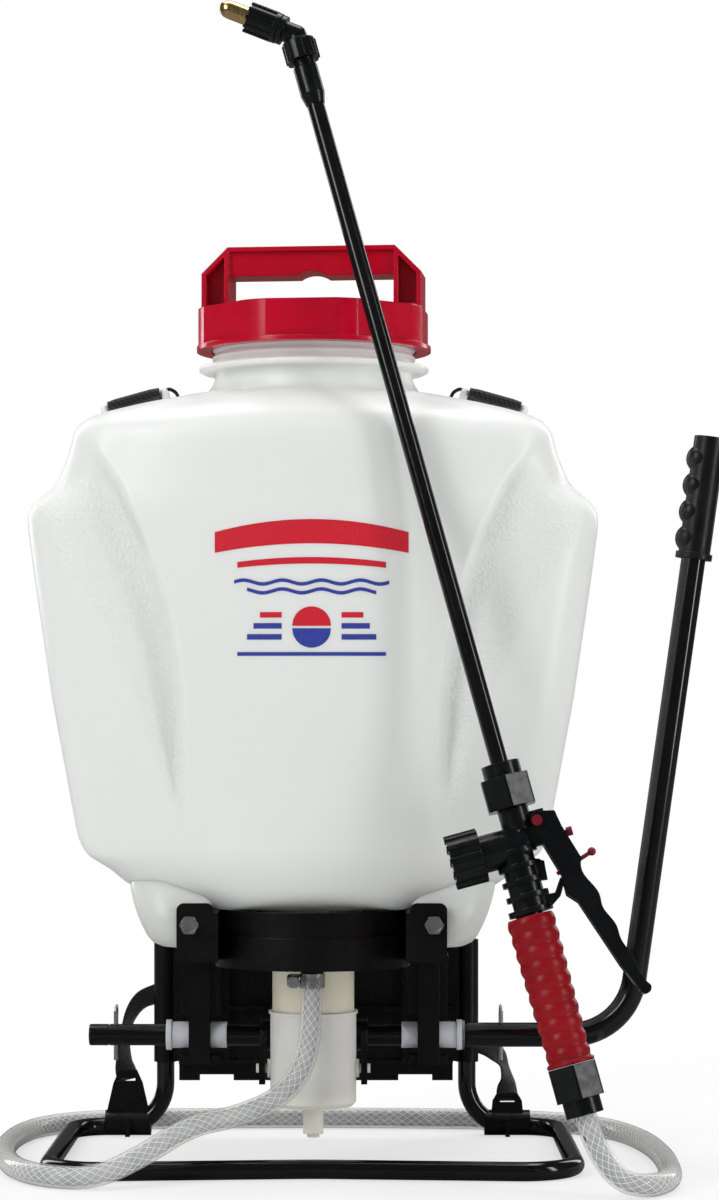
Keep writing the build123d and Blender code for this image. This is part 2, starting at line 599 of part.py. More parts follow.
def make_cap():
    skirt = extrude(RegularPolygon(CAP_ACROSS_R / math.cos(math.pi / 8), 8, rotation=22.5), 26.5)
    skirt = skirt & Cylinder(CAP_FLANGE_R - 0.2, 60)
    cap = Pos(0, 0, CAP_BOTTOM_Z) * skirt
    cap += rod_z(CAP_FLANGE_R, CAP_BOTTOM_Z, CAP_BOTTOM_Z + 3.2)
    cap += cap_handle()
    cap -= rod_z(CAP_BORE_R, CAP_BOTTOM_Z - 1, 545.3)
    keep("cap", Rot(0, 0, CAP_TURN) * cap)
    keep("cap_gasket", ring_z(65.4, 57, 543.3, 545.0))


# ---------------------------------------------------------------- shut-off valve, in the wand's frame
def in_wand(shape):
    return WAND * shape


def hex_nut(across, z0, z1, bore, x=0.0):
    """A hexagon nut on the wand's axis with its flats' corners broken."""
    nut = Pos(x, 0, z0) * extrude(RegularPolygon(across / 2, 6, rotation=30), z1 - z0)
    nut = nut & (Pos(x, 0, (z0 + z1) / 2) * Cylinder(across / 2 - 0.4, z1 - z0))
    return nut - rod_z(bore, z0 - 1, z1 + 1, x)


def make_valve():
    body = rod_z(9.5, -24, -10.2) + rod_z(8.2, -10.5, 8)
    body += rod_z(10.5, -74.4, -22, GRIP_X + 2)
    for ring in range(5):
        z = -36.0 - 9.2 * ring
        body += rod_z(13.2, z - 1.6, z + 1.6, GRIP_X + 2)
    body += rod_x(11.5, -26, 3, 0, BOSS_Z)
    body += rod_z(8.5, -168.0, -72, GRIP_X)
    body += rod_z(12.2, -74.4, -70.9, GRIP_X)
    body += block(2, 17.6, -5, 5, -36, -14.6)
    stop_arm = make_face(Polyline((-6, -64.5), (11, -66), (16.5, -58), (19, -60), (14, -68.5), (6.5, -73.5),
                                  (-6, -74.3), (-6, -64.5)))
    body += extrude(Plane.XZ * stop_arm, 5, both=True)
    hook = make_face(Polyline((-4, -41), (5.6, -43), (10, -45.7), (9.5, -50.7), (9, -57), (3.6, -56.2),
                              (3.6, -52.3), (0.5, -50.7), (-4, -50.7), (-4, -41)))
    body += extrude(Plane.XZ * hook, 4.2, both=True) - block(5.4, 20, -1.7, 1.7, -60, -40)
    body -= rod_y(2.15, -12, 12, PIVOT_X, PIVOT_Z)
    body -= rod_z(3.2, -190, 20)
    body -= rod_z(3.2, -190, -30, GRIP_X)
    body -= rod_x(6.2, -40, -8, 0, BOSS_Z)
    body -= rod_x(2.3, -40, 30, 0, BOSS_Z)
    keep("valve_body", in_wand(body))

    keep("wand_nut", in_wand(hex_nut(33.4, -9.7, 9.7, 8.4) + (rod_z(11.8, 9.6, 18.4) - rod_z(5.75, 0, 20))))
    tail = rod_z(8.0, -191, -169.3, GRIP_X) + rod_z(HOSE_BARB_R, -215, -190, GRIP_X)
    tail -= rod_z(2.8, -217, -163, GRIP_X)
    keep("hose_tail", in_wand(tail))
    inlet = hex_nut(33.0, -189.0, -168.2, 8.2, GRIP_X)
    inlet += rod_z(11.5, VALVE_INLET_Z + 0.1, -188.9, GRIP_X) - rod_z(8.2, -203, -183, GRIP_X)
    keep("inlet_nut", in_wand(inlet))

    grip = Pos(GRIP_X, 0, -119.8) * Cone(12.4, 14.0, 89.6)
    for ridge in range(10):
        z = -80.0 - 9.0 * ridge
        radius = 14.1 - 0.165 * ridge
        grip += rod_z(radius + 0.5, z - 2.4, z + 2.4, GRIP_X)
    grip += rod_z(13.6, -168.0, -164, GRIP_X)
    grip -= rod_z(8.6, -173, -66, GRIP_X)
    grip -= rod_z(30, -75.5, -56, GRIP_X)
    keep("valve_grip", in_wand(grip))

    cap = rod_x(15.8, -44.3, -24.9, 0, BOSS_Z) - rod_x(11.8, -41.0, -20, 0, BOSS_Z)
    for step in range(12):
        cap += Pos(0, 0, BOSS_Z) * Rot(30 * step, 0, 0) * block(-45.2, -25.2, -1.4, 1.4, 15.0, 16.6)
    keep("valve_side_cap", in_wand(cap))
    turns = 6
    coil = Helix(pitch=2.5, height=2.5 * turns, radius=4.6, direction=(-1, 0, 0), center=(-22.5, 0, BOSS_Z))
    wire = Plane(origin=coil @ 0, z_dir=coil % 0) * Circle(0.45)
    keep("valve_spring", in_wand(sweep(wire, path=coil)))

    stem = rod_x(2.0, -15, 22.2, 0, BOSS_Z) + rod_x(5.6, -18.2, -14.5, 0, BOSS_Z)
    keep("valve_stem", in_wand(stem))
    keep("stem_seal", in_wand(rod_x(5.7, -14.3, -12.6, 0, BOSS_Z) - rod_x(2.15, -15, -12, 0, BOSS_Z)))
    pin = rod_y(2.0, -9.6, 9.6, PIVOT_X, PIVOT_Z) + rod_y(3.3, -11.6, -9.2, PIVOT_X, PIVOT_Z)
    keep("trigger_pivot_pin", in_wand(pin))
    keep("wand_o_ring", in_wand(ring_z(7.8, 5.6, 8.1, 9.5)))


TRIGGER_SCALLOPS = [(32.0, -50.4), (30.4, -58.8), (36.5, -75.2), (36.2, -80.8), (41.2, -94.9), (41.5, -102.6),
                    (45.6, -115.2), (47.1, -125.8), (51.1, -134.0)]


def make_trigger():
    """A channel-section trigger with finger scallops, its stud, its pivot and the rod that locks it."""
    edge = Spline(*TRIGGER_SCALLOPS)
    tip = ThreePointArc(TRIGGER_SCALLOPS[-1], (49.6, -138.4), (44.4, -135.6))
    rest = Polyline((44.4, -135.6), (37.1, -118.6), (23.0, -75.2), (17.4, -69), (17.7, -56.5),
                    (12.8, -39.1), (9.3, -26), (9.1, -17.6), (12, -15.4), (24.0, -18.2), (25.6, -28.2),
                    TRIGGER_SCALLOPS[0])
    trigger = extrude(Plane.XZ * make_face([edge, tip, rest]), 8.4, both=True)
    inside = make_face(Polyline((0, -5), (21, -5), (22.4, -28.6), (28.8, -50.6), (27.3, -59.4), (33, -75.6),
                                (33.0, -82), (38, -96), (38.2, -103.5), (42.2, -116), (42.4, -124), (20, -124),
                                (0, -70), (0, -5)))
    trigger -= extrude(Plane.XZ * inside, 5.4, both=True)
    trigger -= rod_y(2.1, -12, 12, PIVOT_X, PIVOT_Z)
    trigger -= rod_x(1.6, 20, 40, 0, BOSS_Z)
    lock_place = Pos(LOCK_TIP[0], 0, LOCK_TIP[1]) * Rot(0, 90 - LOCK_ANGLE, 0)
    trigger -= lock_place * rod_z(1.6, 8, 22)
    keep("trigger", in_wand(trigger))
    stud = rod_x(1.55, 22.8, 28, 0, BOSS_Z) + rod_x(2.8, 27.9, 31.4, 0, BOSS_Z)
    keep("trigger_stud", in_wand(stud))
    lock = lock_place * (rod_z(1.3, 0, 25) + Pos(0, 0, 25) * Sphere(2.6))
    keep("trigger_lock", in_wand(lock))


def nozzle_nose(z):
    """The nozzle's rounded end."""
    edge = EllipticalCenterArc((0, 0), NOZZLE_R, NOZZLE_NOSE, start_angle=0, arc_size=90)
    profile = make_face([Line((0, 0), (NOZZLE_R, 0)), edge, Line((0, NOZZLE_NOSE), (0, 0))])
    return Pos(0, 0, z) * revolve(Plane.XZ * profile, Axis.Z)


def make_wand():
    keep("wand_tube", in_wand(rod_z(5.5, 8.6, 470) - rod_z(4.0, 0, 480)))
    ferrule = rod_z(7.7, 456, 474) + Pos(0, 0, 452.5) * Cone(5.9, 7.7, 7) + rod_z(6.6, 473, 486)
    for ring in range(4):
        ferrule += rod_z(7.2, 474.6 + 1.8 * ring, 475.6 + 1.8 * ring)
    keep("wand_ferrule", in_wand(ferrule - rod_z(5.52, 440, 470.2) - rod_z(4.0, 440, 490)))
    nut = rod_z(10.2, 478.5, 491.5)
    for step in range(10):
        nut += Rot(0, 0, 36 * step) * block(9.6, 10.9, -1.5, 1.5, 478.5, 490.5)
    keep("elbow_nut", in_wand(nut - rod_z(7.3, 470, 488.6) - rod_z(5.5, 470, 500)))
    turn = Pos(0, 0, ELBOW_Z) * Rot(0, -ELBOW_TURN, 0)
    elbow = rod_z(6.6, 491.6, ELBOW_Z) + Pos(0, 0, ELBOW_Z) * Sphere(6.6) + turn * rod_z(6.6, 0, 12)
    elbow += turn * (rod_z(9.2, 8.2, 11.4) + rod_z(5.2, 11, 18))
    elbow -= rod_z(3.0, 480, ELBOW_Z) + Pos(0, 0, ELBOW_Z) * Sphere(3.0) + turn * rod_z(3.0, 0, 20)
    keep("wand_elbow", in_wand(elbow))
    cap = rod_z(9.0, 12, 32) + rod_z(9.6, 12, 15)
    for step in range(10):
        cap += Rot(0, 0, 36 * step) * block(8.4, 9.9, -1.2, 1.2, 15, 32.8)
    cap -= rod_z(5.3, 10, 19) + rod_z(6.0, 18.6, 40)
    keep("nozzle_nut", in_wand(turn * cap))
    nozzle = rod_z(NOZZLE_R, 19.6, 45) + nozzle_nose(45)
    nozzle -= rod_z(3.8, 15, 44) + rod_z(0.8, 40, 60)
    keep("spray_nozzle", in_wand(turn * nozzle))


# ---------------------------------------------------------------- straps
PAD_X = 102.0
WEB_X = 93.0               # the lower webbing behind the back plate
CLIP_X = 130.0
WEB_LEAN = 24.0            # how far the webbing leans in from its clip
WEB_BEND_Z = 120.0


def ribbon(x, points, width, thickness, bend):
    """A flat strap of constant width along a path in an upright plane."""
    path = FilletPolyline(*[(x, y, z) for y, z in points], radius=bend)
    section = Plane(origin=path @ 0, x_dir=(1, 0, 0), z_dir=path % 0) * Rectangle(width, thickness)
    return sweep(section, path=path)


def make_straps():
    for side, name in ((-1, "left"), (1, "right")):
        top = [(18, 5.5), (66, 5.5), (97, 3.0), (117, -10), (124, -29.5)]
        web = LUG_PLACE * ribbon(0, top, 30, 1.6, 12)
        keep("strap_web_upper_" + name, web if side > 0 else mirrored(web))
        pad = [(126, 451.7), (137, 410), (141, 350), (136, 290), (125, 236)]
        keep("shoulder_pad_" + name, ribbon(PAD_X * side, pad, 54, 11, 40))
        slot_z = 39.0 if side < 0 else 24.5
        upper = ribbon(WEB_X * side, [(125, 235.7), (124, 170), (122, 110)], 24, 1.5, 8)
        lower = [(122, WEB_BEND_Z - slot_z), (118, 40), (116, 17), (105.9, 0)]
        lean = Pos(CLIP_X * side, 0, slot_z + 3) * Rot(0, -WEB_LEAN * side, 0)
        keep("strap_web_lower_" + name, upper + lean * ribbon(0, lower, 24, 1.5, 8))
        keep("frame_clip_" + name, strap_clip(side))


make_tank()
make_frame()
make_back_plate()
make_bracket()
make_bracket_bolts()
make_pump()
make_hose_clamp()
make_hose()
make_shaft()
make_fork()
make_lever()
make_strainer()
make_cap()
make_valve()
make_trigger()
make_wand()
make_straps()

for name, shape in nodes.items():
    export_step(shape, "parts/" + name + ".step")
print(len(nodes), "nodes")
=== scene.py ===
"""Looks of the backpack sprayer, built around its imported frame. Metres, +X right, +Y to the wearer, +Z up."""
import math

import bmesh
import bpy
import numpy as np
from mathutils import Matrix, Vector


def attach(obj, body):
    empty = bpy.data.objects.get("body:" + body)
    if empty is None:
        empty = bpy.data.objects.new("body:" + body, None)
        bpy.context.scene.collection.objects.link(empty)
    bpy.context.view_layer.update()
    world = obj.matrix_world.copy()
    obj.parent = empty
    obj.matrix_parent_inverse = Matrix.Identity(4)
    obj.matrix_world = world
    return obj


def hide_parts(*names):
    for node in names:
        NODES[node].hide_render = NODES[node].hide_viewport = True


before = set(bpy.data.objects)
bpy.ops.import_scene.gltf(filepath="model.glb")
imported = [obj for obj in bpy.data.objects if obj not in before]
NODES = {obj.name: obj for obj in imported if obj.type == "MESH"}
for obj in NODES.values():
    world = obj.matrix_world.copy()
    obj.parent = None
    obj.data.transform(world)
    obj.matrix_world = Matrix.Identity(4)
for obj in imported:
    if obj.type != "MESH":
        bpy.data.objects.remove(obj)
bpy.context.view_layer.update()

# ---- camera
camera_data = bpy.data.cameras.new("camera")
camera = bpy.data.objects.new("camera", camera_data)
bpy.context.scene.collection.objects.link(camera)
camera.location = (0.0296, -2.015, 0.2928)
camera.rotation_euler = (math.radians(90), 0, 0)
camera_data.sensor_fit = "AUTO"
camera_data.sensor_width = 36
camera_data.lens = 93
camera_data.shift_y = 0.0892
bpy.context.scene.camera = camera

# ---- hose
HOSE_R = 0.007
# a small point radius, so that the box that Blender gives the curve stays on the tube
POINT_RADIUS = 0.01
HOSE_ROUTE = [
    (0, -0.072, 0.126), (0, -0.072, 0.097), (-0.004, -0.075, 0.069), (-0.019, -0.082, 0.049),
    (-0.047, -0.092, 0.0385), (-0.075, -0.107, 0.035), (-0.101, -0.125, 0.020), (-0.130, -0.136, 0.007),
    (-0.160, -0.129, 0.007), (-0.182, -0.099, 0.007), (-0.195, -0.052, 0.007), (-0.201, 0.002, 0.007),
    (-0.199, 0.055, 0.007), (-0.188, 0.099, 0.007), (-0.158, 0.128, 0.007), (-0.108, 0.138, 0.007),
    (-0.043, 0.142, 0.007), (0.035, 0.142, 0.007), (0.105, 0.137, 0.007), (0.163, 0.123, 0.007),
    (0.200, 0.089, 0.007), (0.217, 0.032, 0.007), (0.223, -0.034, 0.007), (0.222, -0.094, 0.007),
    (0.218, -0.141, 0.007), (0.203, -0.168, 0.007), (0.184, -0.169, 0.010),
    (0.1695, -0.1616, 0.0312), (0.1648, -0.1592, 0.0484),
]


def collect(obj):
    """Link a new object to the scene."""
    bpy.context.scene.collection.objects.link(obj)
    return obj


def hose_curve(name, bevel):
    """A round tube of radius bevel along the hose's route, as a curve."""
    data = bpy.data.curves.new(name, "CURVE")
    data.dimensions = "3D"
    line = data.splines.new("NURBS")
    line.points.add(len(HOSE_ROUTE) - 1)
    for point, place in zip(line.points, HOSE_ROUTE):
        point.co = (*place, 1)
        point.radius = POINT_RADIUS
    line.order_u = 3
    line.use_endpoint_u = True
    line.resolution_u = 12
    data.bevel_depth = bevel / POINT_RADIUS
    data.bevel_resolution = 6
    data.use_fill_caps = True
    return collect(bpy.data.objects.new(name, data))


def curve_points(curve):
    """The points of a curve's own line."""
    depth = curve.data.bevel_depth
    curve.data.bevel_depth = 0
    bpy.context.view_layer.update()
    mesh = bpy.data.meshes.new_from_object(curve)
    points = [v.co.copy() for v in mesh.vertices]
    bpy.data.meshes.remove(mesh)
    curve.data.bevel_depth = depth
    return points


hose = hose_curve("hose_skin", HOSE_R)
hose_line = curve_points(hose)
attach(hose, "root")
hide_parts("hose")


# ---- mesh helpers
def mesh_object(name, verts, faces, smooth=True, uvs=None):
    """A mesh in metres, with one uv for each vertex if uvs are given."""
    data = bpy.data.meshes.new(name)
    data.from_pydata([tuple(v) for v in verts], [], faces)
    data.update()
    if uvs is not None:
        layer = data.uv_layers.new(name="UVMap")
        for loop in data.loops:
            layer.data[loop.index].uv = uvs[loop.vertex_index]
    for polygon in data.polygons:
        polygon.use_smooth = smooth
    return collect(bpy.data.objects.new(name, data))


def join_into(target, others):
    """Join finished mesh objects into one."""
    base = bmesh.new()
    for obj in [target, *others]:
        obj.data.transform(obj.matrix_world)
        obj.matrix_world = Matrix.Identity(4)
        base.from_mesh(obj.data)
    base.to_mesh(target.data)
    base.free()
    for obj in others:
        bpy.data.objects.remove(obj)
    return target


def tube_faces(rows, around, capped=True):
    """Faces between rows of around points each, and a flat cap on either end."""
    faces = []
    for i in range(rows - 1):
        for k in range(around):
            a, b = i * around + k, i * around + (k + 1) % around
            faces.append((a, b, b + around, a + around))
    if capped:
        last = (rows - 1) * around
        faces.append(tuple(range(around - 1, -1, -1)))
        faces.append(tuple(range(last, last + around)))
    return faces


def ring_faces(rows, around):
    """Faces between rows of around points each, where the last row joins the first."""
    faces = []
    for i in range(rows):
        j = (i + 1) % rows
        for k in range(around):
            follow = (k + 1) % around
            faces.append((i * around + k, i * around + follow, j * around + follow, j * around + k))
    return faces


def transport(points):
    """A frame at each point of a line, carried along without twist."""
    count = len(points)
    tangents = []
    for i in range(count):
        before, after = points[max(i - 1, 0)], points[min(i + 1, count - 1)]
        tangents.append((after - before).normalized())
    side = tangents[0].orthogonal().normalized()
    frames = []
    for tangent in tangents:
        side = (side - tangent * side.dot(tangent)).normalized()
        frames.append((side.copy(), tangent.cross(side)))
    return frames


def even_line(points, step):
    """The same line with its points a constant step apart."""
    table = [0.0]
    for a, b in zip(points, points[1:]):
        table.append(table[-1] + (b - a).length)
    count = max(2, int(round(table[-1] / step)))
    placed, index = [], 0
    for k in range(count + 1):
        s = table[-1] * k / count
        while index < len(table) - 2 and table[index + 1] < s:
            index += 1
        share = (s - table[index]) / max(table[index + 1] - table[index], 1e-9)
        placed.append(points[index].lerp(points[index + 1], min(share, 1)))
    return placed


def tube_mesh(name, points, radius, around, capped=True):
    """A round tube along points, with uvs round and along it."""
    verts, uvs = [], []
    run = 0.0
    for i, (point, (side, up)) in enumerate(zip(points, transport(points))):
        if i:
            run += (point - points[i - 1]).length
        for k in range(around):
            angle = 2 * math.pi * k / around
            verts.append(point + side * (radius * math.cos(angle)) + up * (radius * math.sin(angle)))
            uvs.append((k / around, run))
    return mesh_object(name, verts, tube_faces(len(points), around, capped), uvs=uvs)


# ---- materials
def shader(name, colour, roughness, metallic=0.0, specular=0.5):
    """A new material, its node tree and its main shader."""
    material = bpy.data.materials.new(name)
    material.use_nodes = True
    tree = material.node_tree
    principled = tree.nodes["Principled BSDF"]
    principled.inputs["Base Color"].default_value = (*colour, 1)
    principled.inputs["Roughness"].default_value = roughness
    principled.inputs["Metallic"].default_value = metallic
    principled.inputs["Specular IOR Level"].default_value = specular
    return material, tree, principled


def coordinates(tree, kind="Object"):
    """A texture coordinate."""
    return tree.nodes.new("ShaderNodeTexCoord").outputs[kind]


def noise(tree, scale, detail=3.0, vector=None):
    """Soft noise from 0 to 1."""
    node = tree.nodes.new("ShaderNodeTexNoise")
    node.inputs["Scale"].default_value = scale
    node.inputs["Detail"].default_value = detail
    tree.links.new(vector or coordinates(tree), node.inputs["Vector"])
    return node.outputs["Fac"]


def ramp(tree, value, low, high, at=(0.35, 0.65)):
    """Map a 0 to 1 value on to two colours or two greys."""
    node = tree.nodes.new("ShaderNodeValToRGB")
    for element, place, tone in zip(node.color_ramp.elements, at, (low, high)):
        element.position = place
        element.color = (*tone, 1) if hasattr(tone, "__len__") else (tone, tone, tone, 1)
    tree.links.new(value, node.inputs["Fac"])
    return node.outputs["Color"]


def math_node(tree, operation, a, b=None):
    """One sum on two values, each a number or another node's output."""
    node = tree.nodes.new("ShaderNodeMath")
    node.operation = operation
    for socket, value in zip(node.inputs, (a, b)):
        if value is None:
            continue
        if isinstance(value, (int, float)):
            socket.default_value = value
        else:
            tree.links.new(value, socket)
    return node.outputs[0]


def bump(tree, height, strength, distance, normal=None):
    """A surface normal raised by height, distance in metres."""
    node = tree.nodes.new("ShaderNodeBump")
    node.inputs["Strength"].default_value = strength
    node.inputs["Distance"].default_value = distance
    tree.links.new(height, node.inputs["Height"])
    if normal is not None:
        tree.links.new(normal, node.inputs["Normal"])
    return node.outputs["Normal"]


def soft_edges(tree, radius):
    """A surface normal that rounds sharp edges over radius."""
    node = tree.nodes.new("ShaderNodeBevel")
    node.samples = 4
    node.inputs["Radius"].default_value = radius
    return node.outputs["Normal"]


def moulded(name, dark, light, rough=(0.3, 0.45), grain=0.00003, grain_scale=1800, edge=0.0006, specular=0.5):
    """Moulded plastic or powder coat: slight colour drift, uneven gloss, a fine grain and rounded edges."""
    material, tree, principled = shader(name, light, rough[0], specular=specular)
    tree.links.new(ramp(tree, noise(tree, 45), dark, light), principled.inputs["Base Color"])
    tree.links.new(ramp(tree, noise(tree, 160, 5), rough[0], rough[1]), principled.inputs["Roughness"])
    base = soft_edges(tree, edge) if edge else None
    tree.links.new(bump(tree, noise(tree, grain_scale, 2), 0.6, grain, base), principled.inputs["Normal"])
    return material


def metal(name, colour, rough=(0.2, 0.4), streak=(40, 900, 40), edge=0.0003):
    """Bright metal with fine drawn marks."""
    material, tree, principled = shader(name, colour, rough[0], metallic=1.0)
    mapping = tree.nodes.new("ShaderNodeMapping")
    mapping.inputs["Scale"].default_value = streak
    tree.links.new(coordinates(tree), mapping.inputs["Vector"])
    marks = noise(tree, 4, 4, vector=mapping.outputs["Vector"])
    tree.links.new(ramp(tree, marks, rough[0], rough[1]), principled.inputs["Roughness"])
    tint = ramp(tree, noise(tree, 300, 3), tuple(0.82 * c for c in colour), colour)
    tree.links.new(tint, principled.inputs["Base Color"])
    tree.links.new(bump(tree, marks, 0.3, 0.00002, soft_edges(tree, edge)), principled.inputs["Normal"])
    return material


black_steel = moulded("black_steel", (0.003, 0.003, 0.0035), (0.0045, 0.0045, 0.005), (0.10, 0.14),
                      0.000008, 1400, 0.0004, 0.55)
black_plastic = moulded("black_plastic", (0.003, 0.003, 0.0035), (0.005, 0.005, 0.0055), (0.26, 0.36),
                        0.00002, 1800, 0.0008, 0.25)
valve_plastic = moulded("valve_plastic", (0.003, 0.0035, 0.004), (0.005, 0.0055, 0.006), (0.20, 0.30),
                        0.000015, 1300, 0.0008, 0.35)
rod_plastic = moulded("rod_plastic", (0.003, 0.003, 0.0035), (0.005, 0.005, 0.0055), (0.14, 0.19),
                      0.00001, 1500, 0.0004, 0.45)
lever_rubber = moulded("lever_rubber", (0.004, 0.004, 0.0045), (0.007, 0.007, 0.0075), (0.30, 0.42),
                       0.00003, 1500, 0.0010, 0.3)
seal_rubber = moulded("seal_rubber", (0.01, 0.01, 0.01), (0.02, 0.02, 0.02), (0.5, 0.65), 0.00004)
bright_steel = metal("bright_steel", (0.62, 0.60, 0.57), (0.25, 0.42))
clamp_steel = metal("clamp_steel", (0.72, 0.72, 0.72), (0.18, 0.32))
brass = metal("nozzle_brass", (0.76, 0.54, 0.24), (0.18, 0.3), (300, 300, 20))
red_gloss = moulded("red_plastic", (0.46, 0.001, 0.018), (0.51, 0.0015, 0.022), (0.16, 0.22),
                    0.00001, 500, 0.0014, 0.35)
red_grip = moulded("red_grip", (0.22, 0.002, 0.006), (0.27, 0.003, 0.008), (0.30, 0.38),
                   0.000015, 1200, 0.0, 0.22)
red_trim = moulded("red_trim", (0.15, 0.003, 0.010), (0.19, 0.004, 0.012), (0.3, 0.4),
                   0.00002, 1200, 0.0005, 0.4)
cream = moulded("pump_cream", (0.84, 0.79, 0.62), (0.88, 0.83, 0.68), (0.28, 0.4), 0.00002, 800, 0.0008)
cup_cream = moulded("cup_cream", (0.86, 0.84, 0.75), (0.90, 0.88, 0.80), (0.3, 0.42), 0.00002, 800, 0.0008)
bush_white = moulded("bush_white", (0.60, 0.61, 0.66), (0.70, 0.71, 0.75), (0.3, 0.42), 0.00002, 800)
for milky, weight in ((cream, 0.35), (cup_cream, 0.4), (bush_white, 0.5)):
    principled = milky.node_tree.nodes["Principled BSDF"]
    principled.inputs["Subsurface Weight"].default_value = weight
    principled.inputs["Subsurface Radius"].default_value = (1.0, 0.9, 0.7)
    principled.inputs["Subsurface Scale"].default_value = 0.006

NODE_LOOKS = {
    black_steel: ["base_frame", "lever_tube"],
    black_plastic: ["back_plate", "collar_bracket", "frame_clip_left", "frame_clip_right", "pump_fork",
                    "chamber_nut", "outlet_elbow", "strainer_basket"],
    valve_plastic: ["valve_body", "wand_nut", "hose_tail", "inlet_nut", "valve_side_cap", "trigger",
                    "wand_elbow", "nozzle_nut", "elbow_nut", "wand_ferrule"],
    rod_plastic: ["wand_tube", "cross_shaft"],
    lever_rubber: ["lever_grip"],
    seal_rubber: ["piston_seal", "chamber_gasket", "cap_gasket", "stem_seal", "wand_o_ring", "intake_seat"],
    bright_steel: ["bracket_bolts", "fork_pin", "hitch_pins", "shaft_washer", "check_balls", "valve_spring",
                   "valve_stem"],
    clamp_steel: ["clamp_screw", "hose_clamp"],
    brass: ["spray_nozzle"],
    red_gloss: ["cap"],
    red_trim: ["trigger_lock", "trigger_pivot_pin", "trigger_stud"],
    red_grip: ["valve_grip"],
    cream: ["pump_plunger", "pressure_chamber", "riser_tube"],
    cup_cream: ["pump_cup", "cup_drain_plug"],
    bush_white: ["shaft_bushing_left", "shaft_bushing_right"],
}


def dress(obj, material):
    """Give an object one material."""
    obj.data.materials.clear()
    obj.data.materials.append(material)
    return obj


for look, names in NODE_LOOKS.items():
    for name in names:
        dress(NODES[name], look)

# the strainer's mesh: a fine square weave
mesh_white, tree, principled = shader("strainer_weave", (0.75, 0.76, 0.76), 0.5)
weave = tree.nodes.new("ShaderNodeTexChecker")
weave.inputs["Scale"].default_value = 900
weave.inputs["Color1"].default_value = (0.8, 0.8, 0.8, 1)
weave.inputs["Color2"].default_value = (0.25, 0.26, 0.26, 1)
tree.links.new(coordinates(tree), weave.inputs["Vector"])
tree.links.new(weave.outputs["Color"], principled.inputs["Base Color"])
tree.links.new(bump(tree, weave.outputs["Fac"], 0.6, 0.0001), principled.inputs["Normal"])
dress(NODES["strainer_mesh"], mesh_white)

# ---- hose: clear skin, braid and bore
skin_clear, tree, principled = shader("hose_clear", (0.82, 0.83, 0.78), 0.10, specular=0.6)
rim = tree.nodes.new("ShaderNodeLayerWeight")
rim.inputs["Blend"].default_value = 0.35
tree.links.new(ramp(tree, rim.outputs["Facing"], 0.14, 0.85, (0.3, 1.0)), principled.inputs["Alpha"])
principled.inputs["Coat Weight"].default_value = 0.6
tree.links.new(bump(tree, noise(tree, 220, 2), 0.25, 0.0003), principled.inputs["Normal"])
liner_milky, tree, principled = shader("hose_bore", (0.60, 0.61, 0.60), 0.35)
tree.links.new(ramp(tree, noise(tree, 60, 2), (0.40, 0.41, 0.43), (0.52, 0.53, 0.54)),
               principled.inputs["Base Color"])
principled.inputs["Alpha"].default_value = 0.88
thread_white, tree, principled = shader("hose_braid", (0.88, 0.88, 0.86), 0.45)
tree.links.new(ramp(tree, noise(tree, 2500, 2), (0.95, 0.95, 0.94), (1.0, 1.0, 1.0)),
               principled.inputs["Base Color"])
dress(hose, skin_clear)

BRAID_R = 0.0058
# the two ways the braid winds lie this far inside and outside its radius
BRAID_OFFSET = 0.00022
BRAID_STRANDS = 8
BRAID_PITCH = 0.050
BRAID_STEP = 0.0028
THREAD_HALF_WIDTH = 0.00016
THREAD_HALF_DEPTH = 0.00012
LINER_R = 0.0051
LINER_STEP = 0.006


def helix_strand(frames, line, turn, phase, radius):
    """The vertices of one flat thread of the braid, wound round the line, four at each of its points."""
    verts = []
    run = 0.0
    for i, (point, (side, up)) in enumerate(zip(line, frames)):
        if i:
            run += (point - line[i - 1]).length
        angle = phase + turn * 2 * math.pi * run / BRAID_PITCH
        out = side * math.cos(angle) + up * math.sin(angle)
        along = side.cross(up)
        wrap = turn * (up * math.cos(angle) - side * math.sin(angle))
        slope = 2 * math.pi * radius / BRAID_PITCH
        run_dir = (along + wrap * slope).normalized()
        across = run_dir.cross(out)
        centre = point + out * radius
        for a, d in ((-1, -1), (1, -1), (1, 1), (-1, 1)):
            verts.append(centre + across * (a * THREAD_HALF_WIDTH) + out * (d * THREAD_HALF_DEPTH))
    return verts


line = even_line(hose_line, BRAID_STEP)
frames_along = transport(line)
thread_faces = tube_faces(len(line), 4)
verts, faces = [], []
for turn in (-1, 1):
    for strand in range(BRAID_STRANDS):
        phase = 2 * math.pi * strand / BRAID_STRANDS
        faces += [tuple(index + len(verts) for index in face) for face in thread_faces]
        verts += helix_strand(frames_along, line, turn, phase, BRAID_R + BRAID_OFFSET * turn)
braid = mesh_object("hose_braid", verts, faces, smooth=False)
liner = tube_mesh("hose_liner", even_line(hose_line, LINER_STEP), LINER_R, 20, capped=False)
for piece, look in ((braid, thread_white), (liner, liner_milky)):
    dress(piece, look)
    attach(piece, "root")

# ---- grip of the shut-off valve
WAND_FOOT = Vector((0.1197, -0.133, 0.2406))
WAND_AXES = Matrix(((0.9645, 0.0348, -0.2618), (0, 0.9913, 0.1318), (0.2641, -0.1271, 0.9561))).to_4x4()
WAND_PLACE = Matrix.Translation(WAND_FOOT) @ WAND_AXES
# along the wand's own axes: where the sleeve stands, its bore and its ridges
GRIP_X = -0.0073
GRIP_LOW = -0.1680
GRIP_HIGH = -0.0757
GRIP_BORE_R = 0.0088
GRIP_R = 0.0124
GRIP_FLARE = 0.0014
RIDGE_HEIGHT = 0.0011
RIDGE_PITCH = 0.0090
RIDGE_SAMPLES = 200


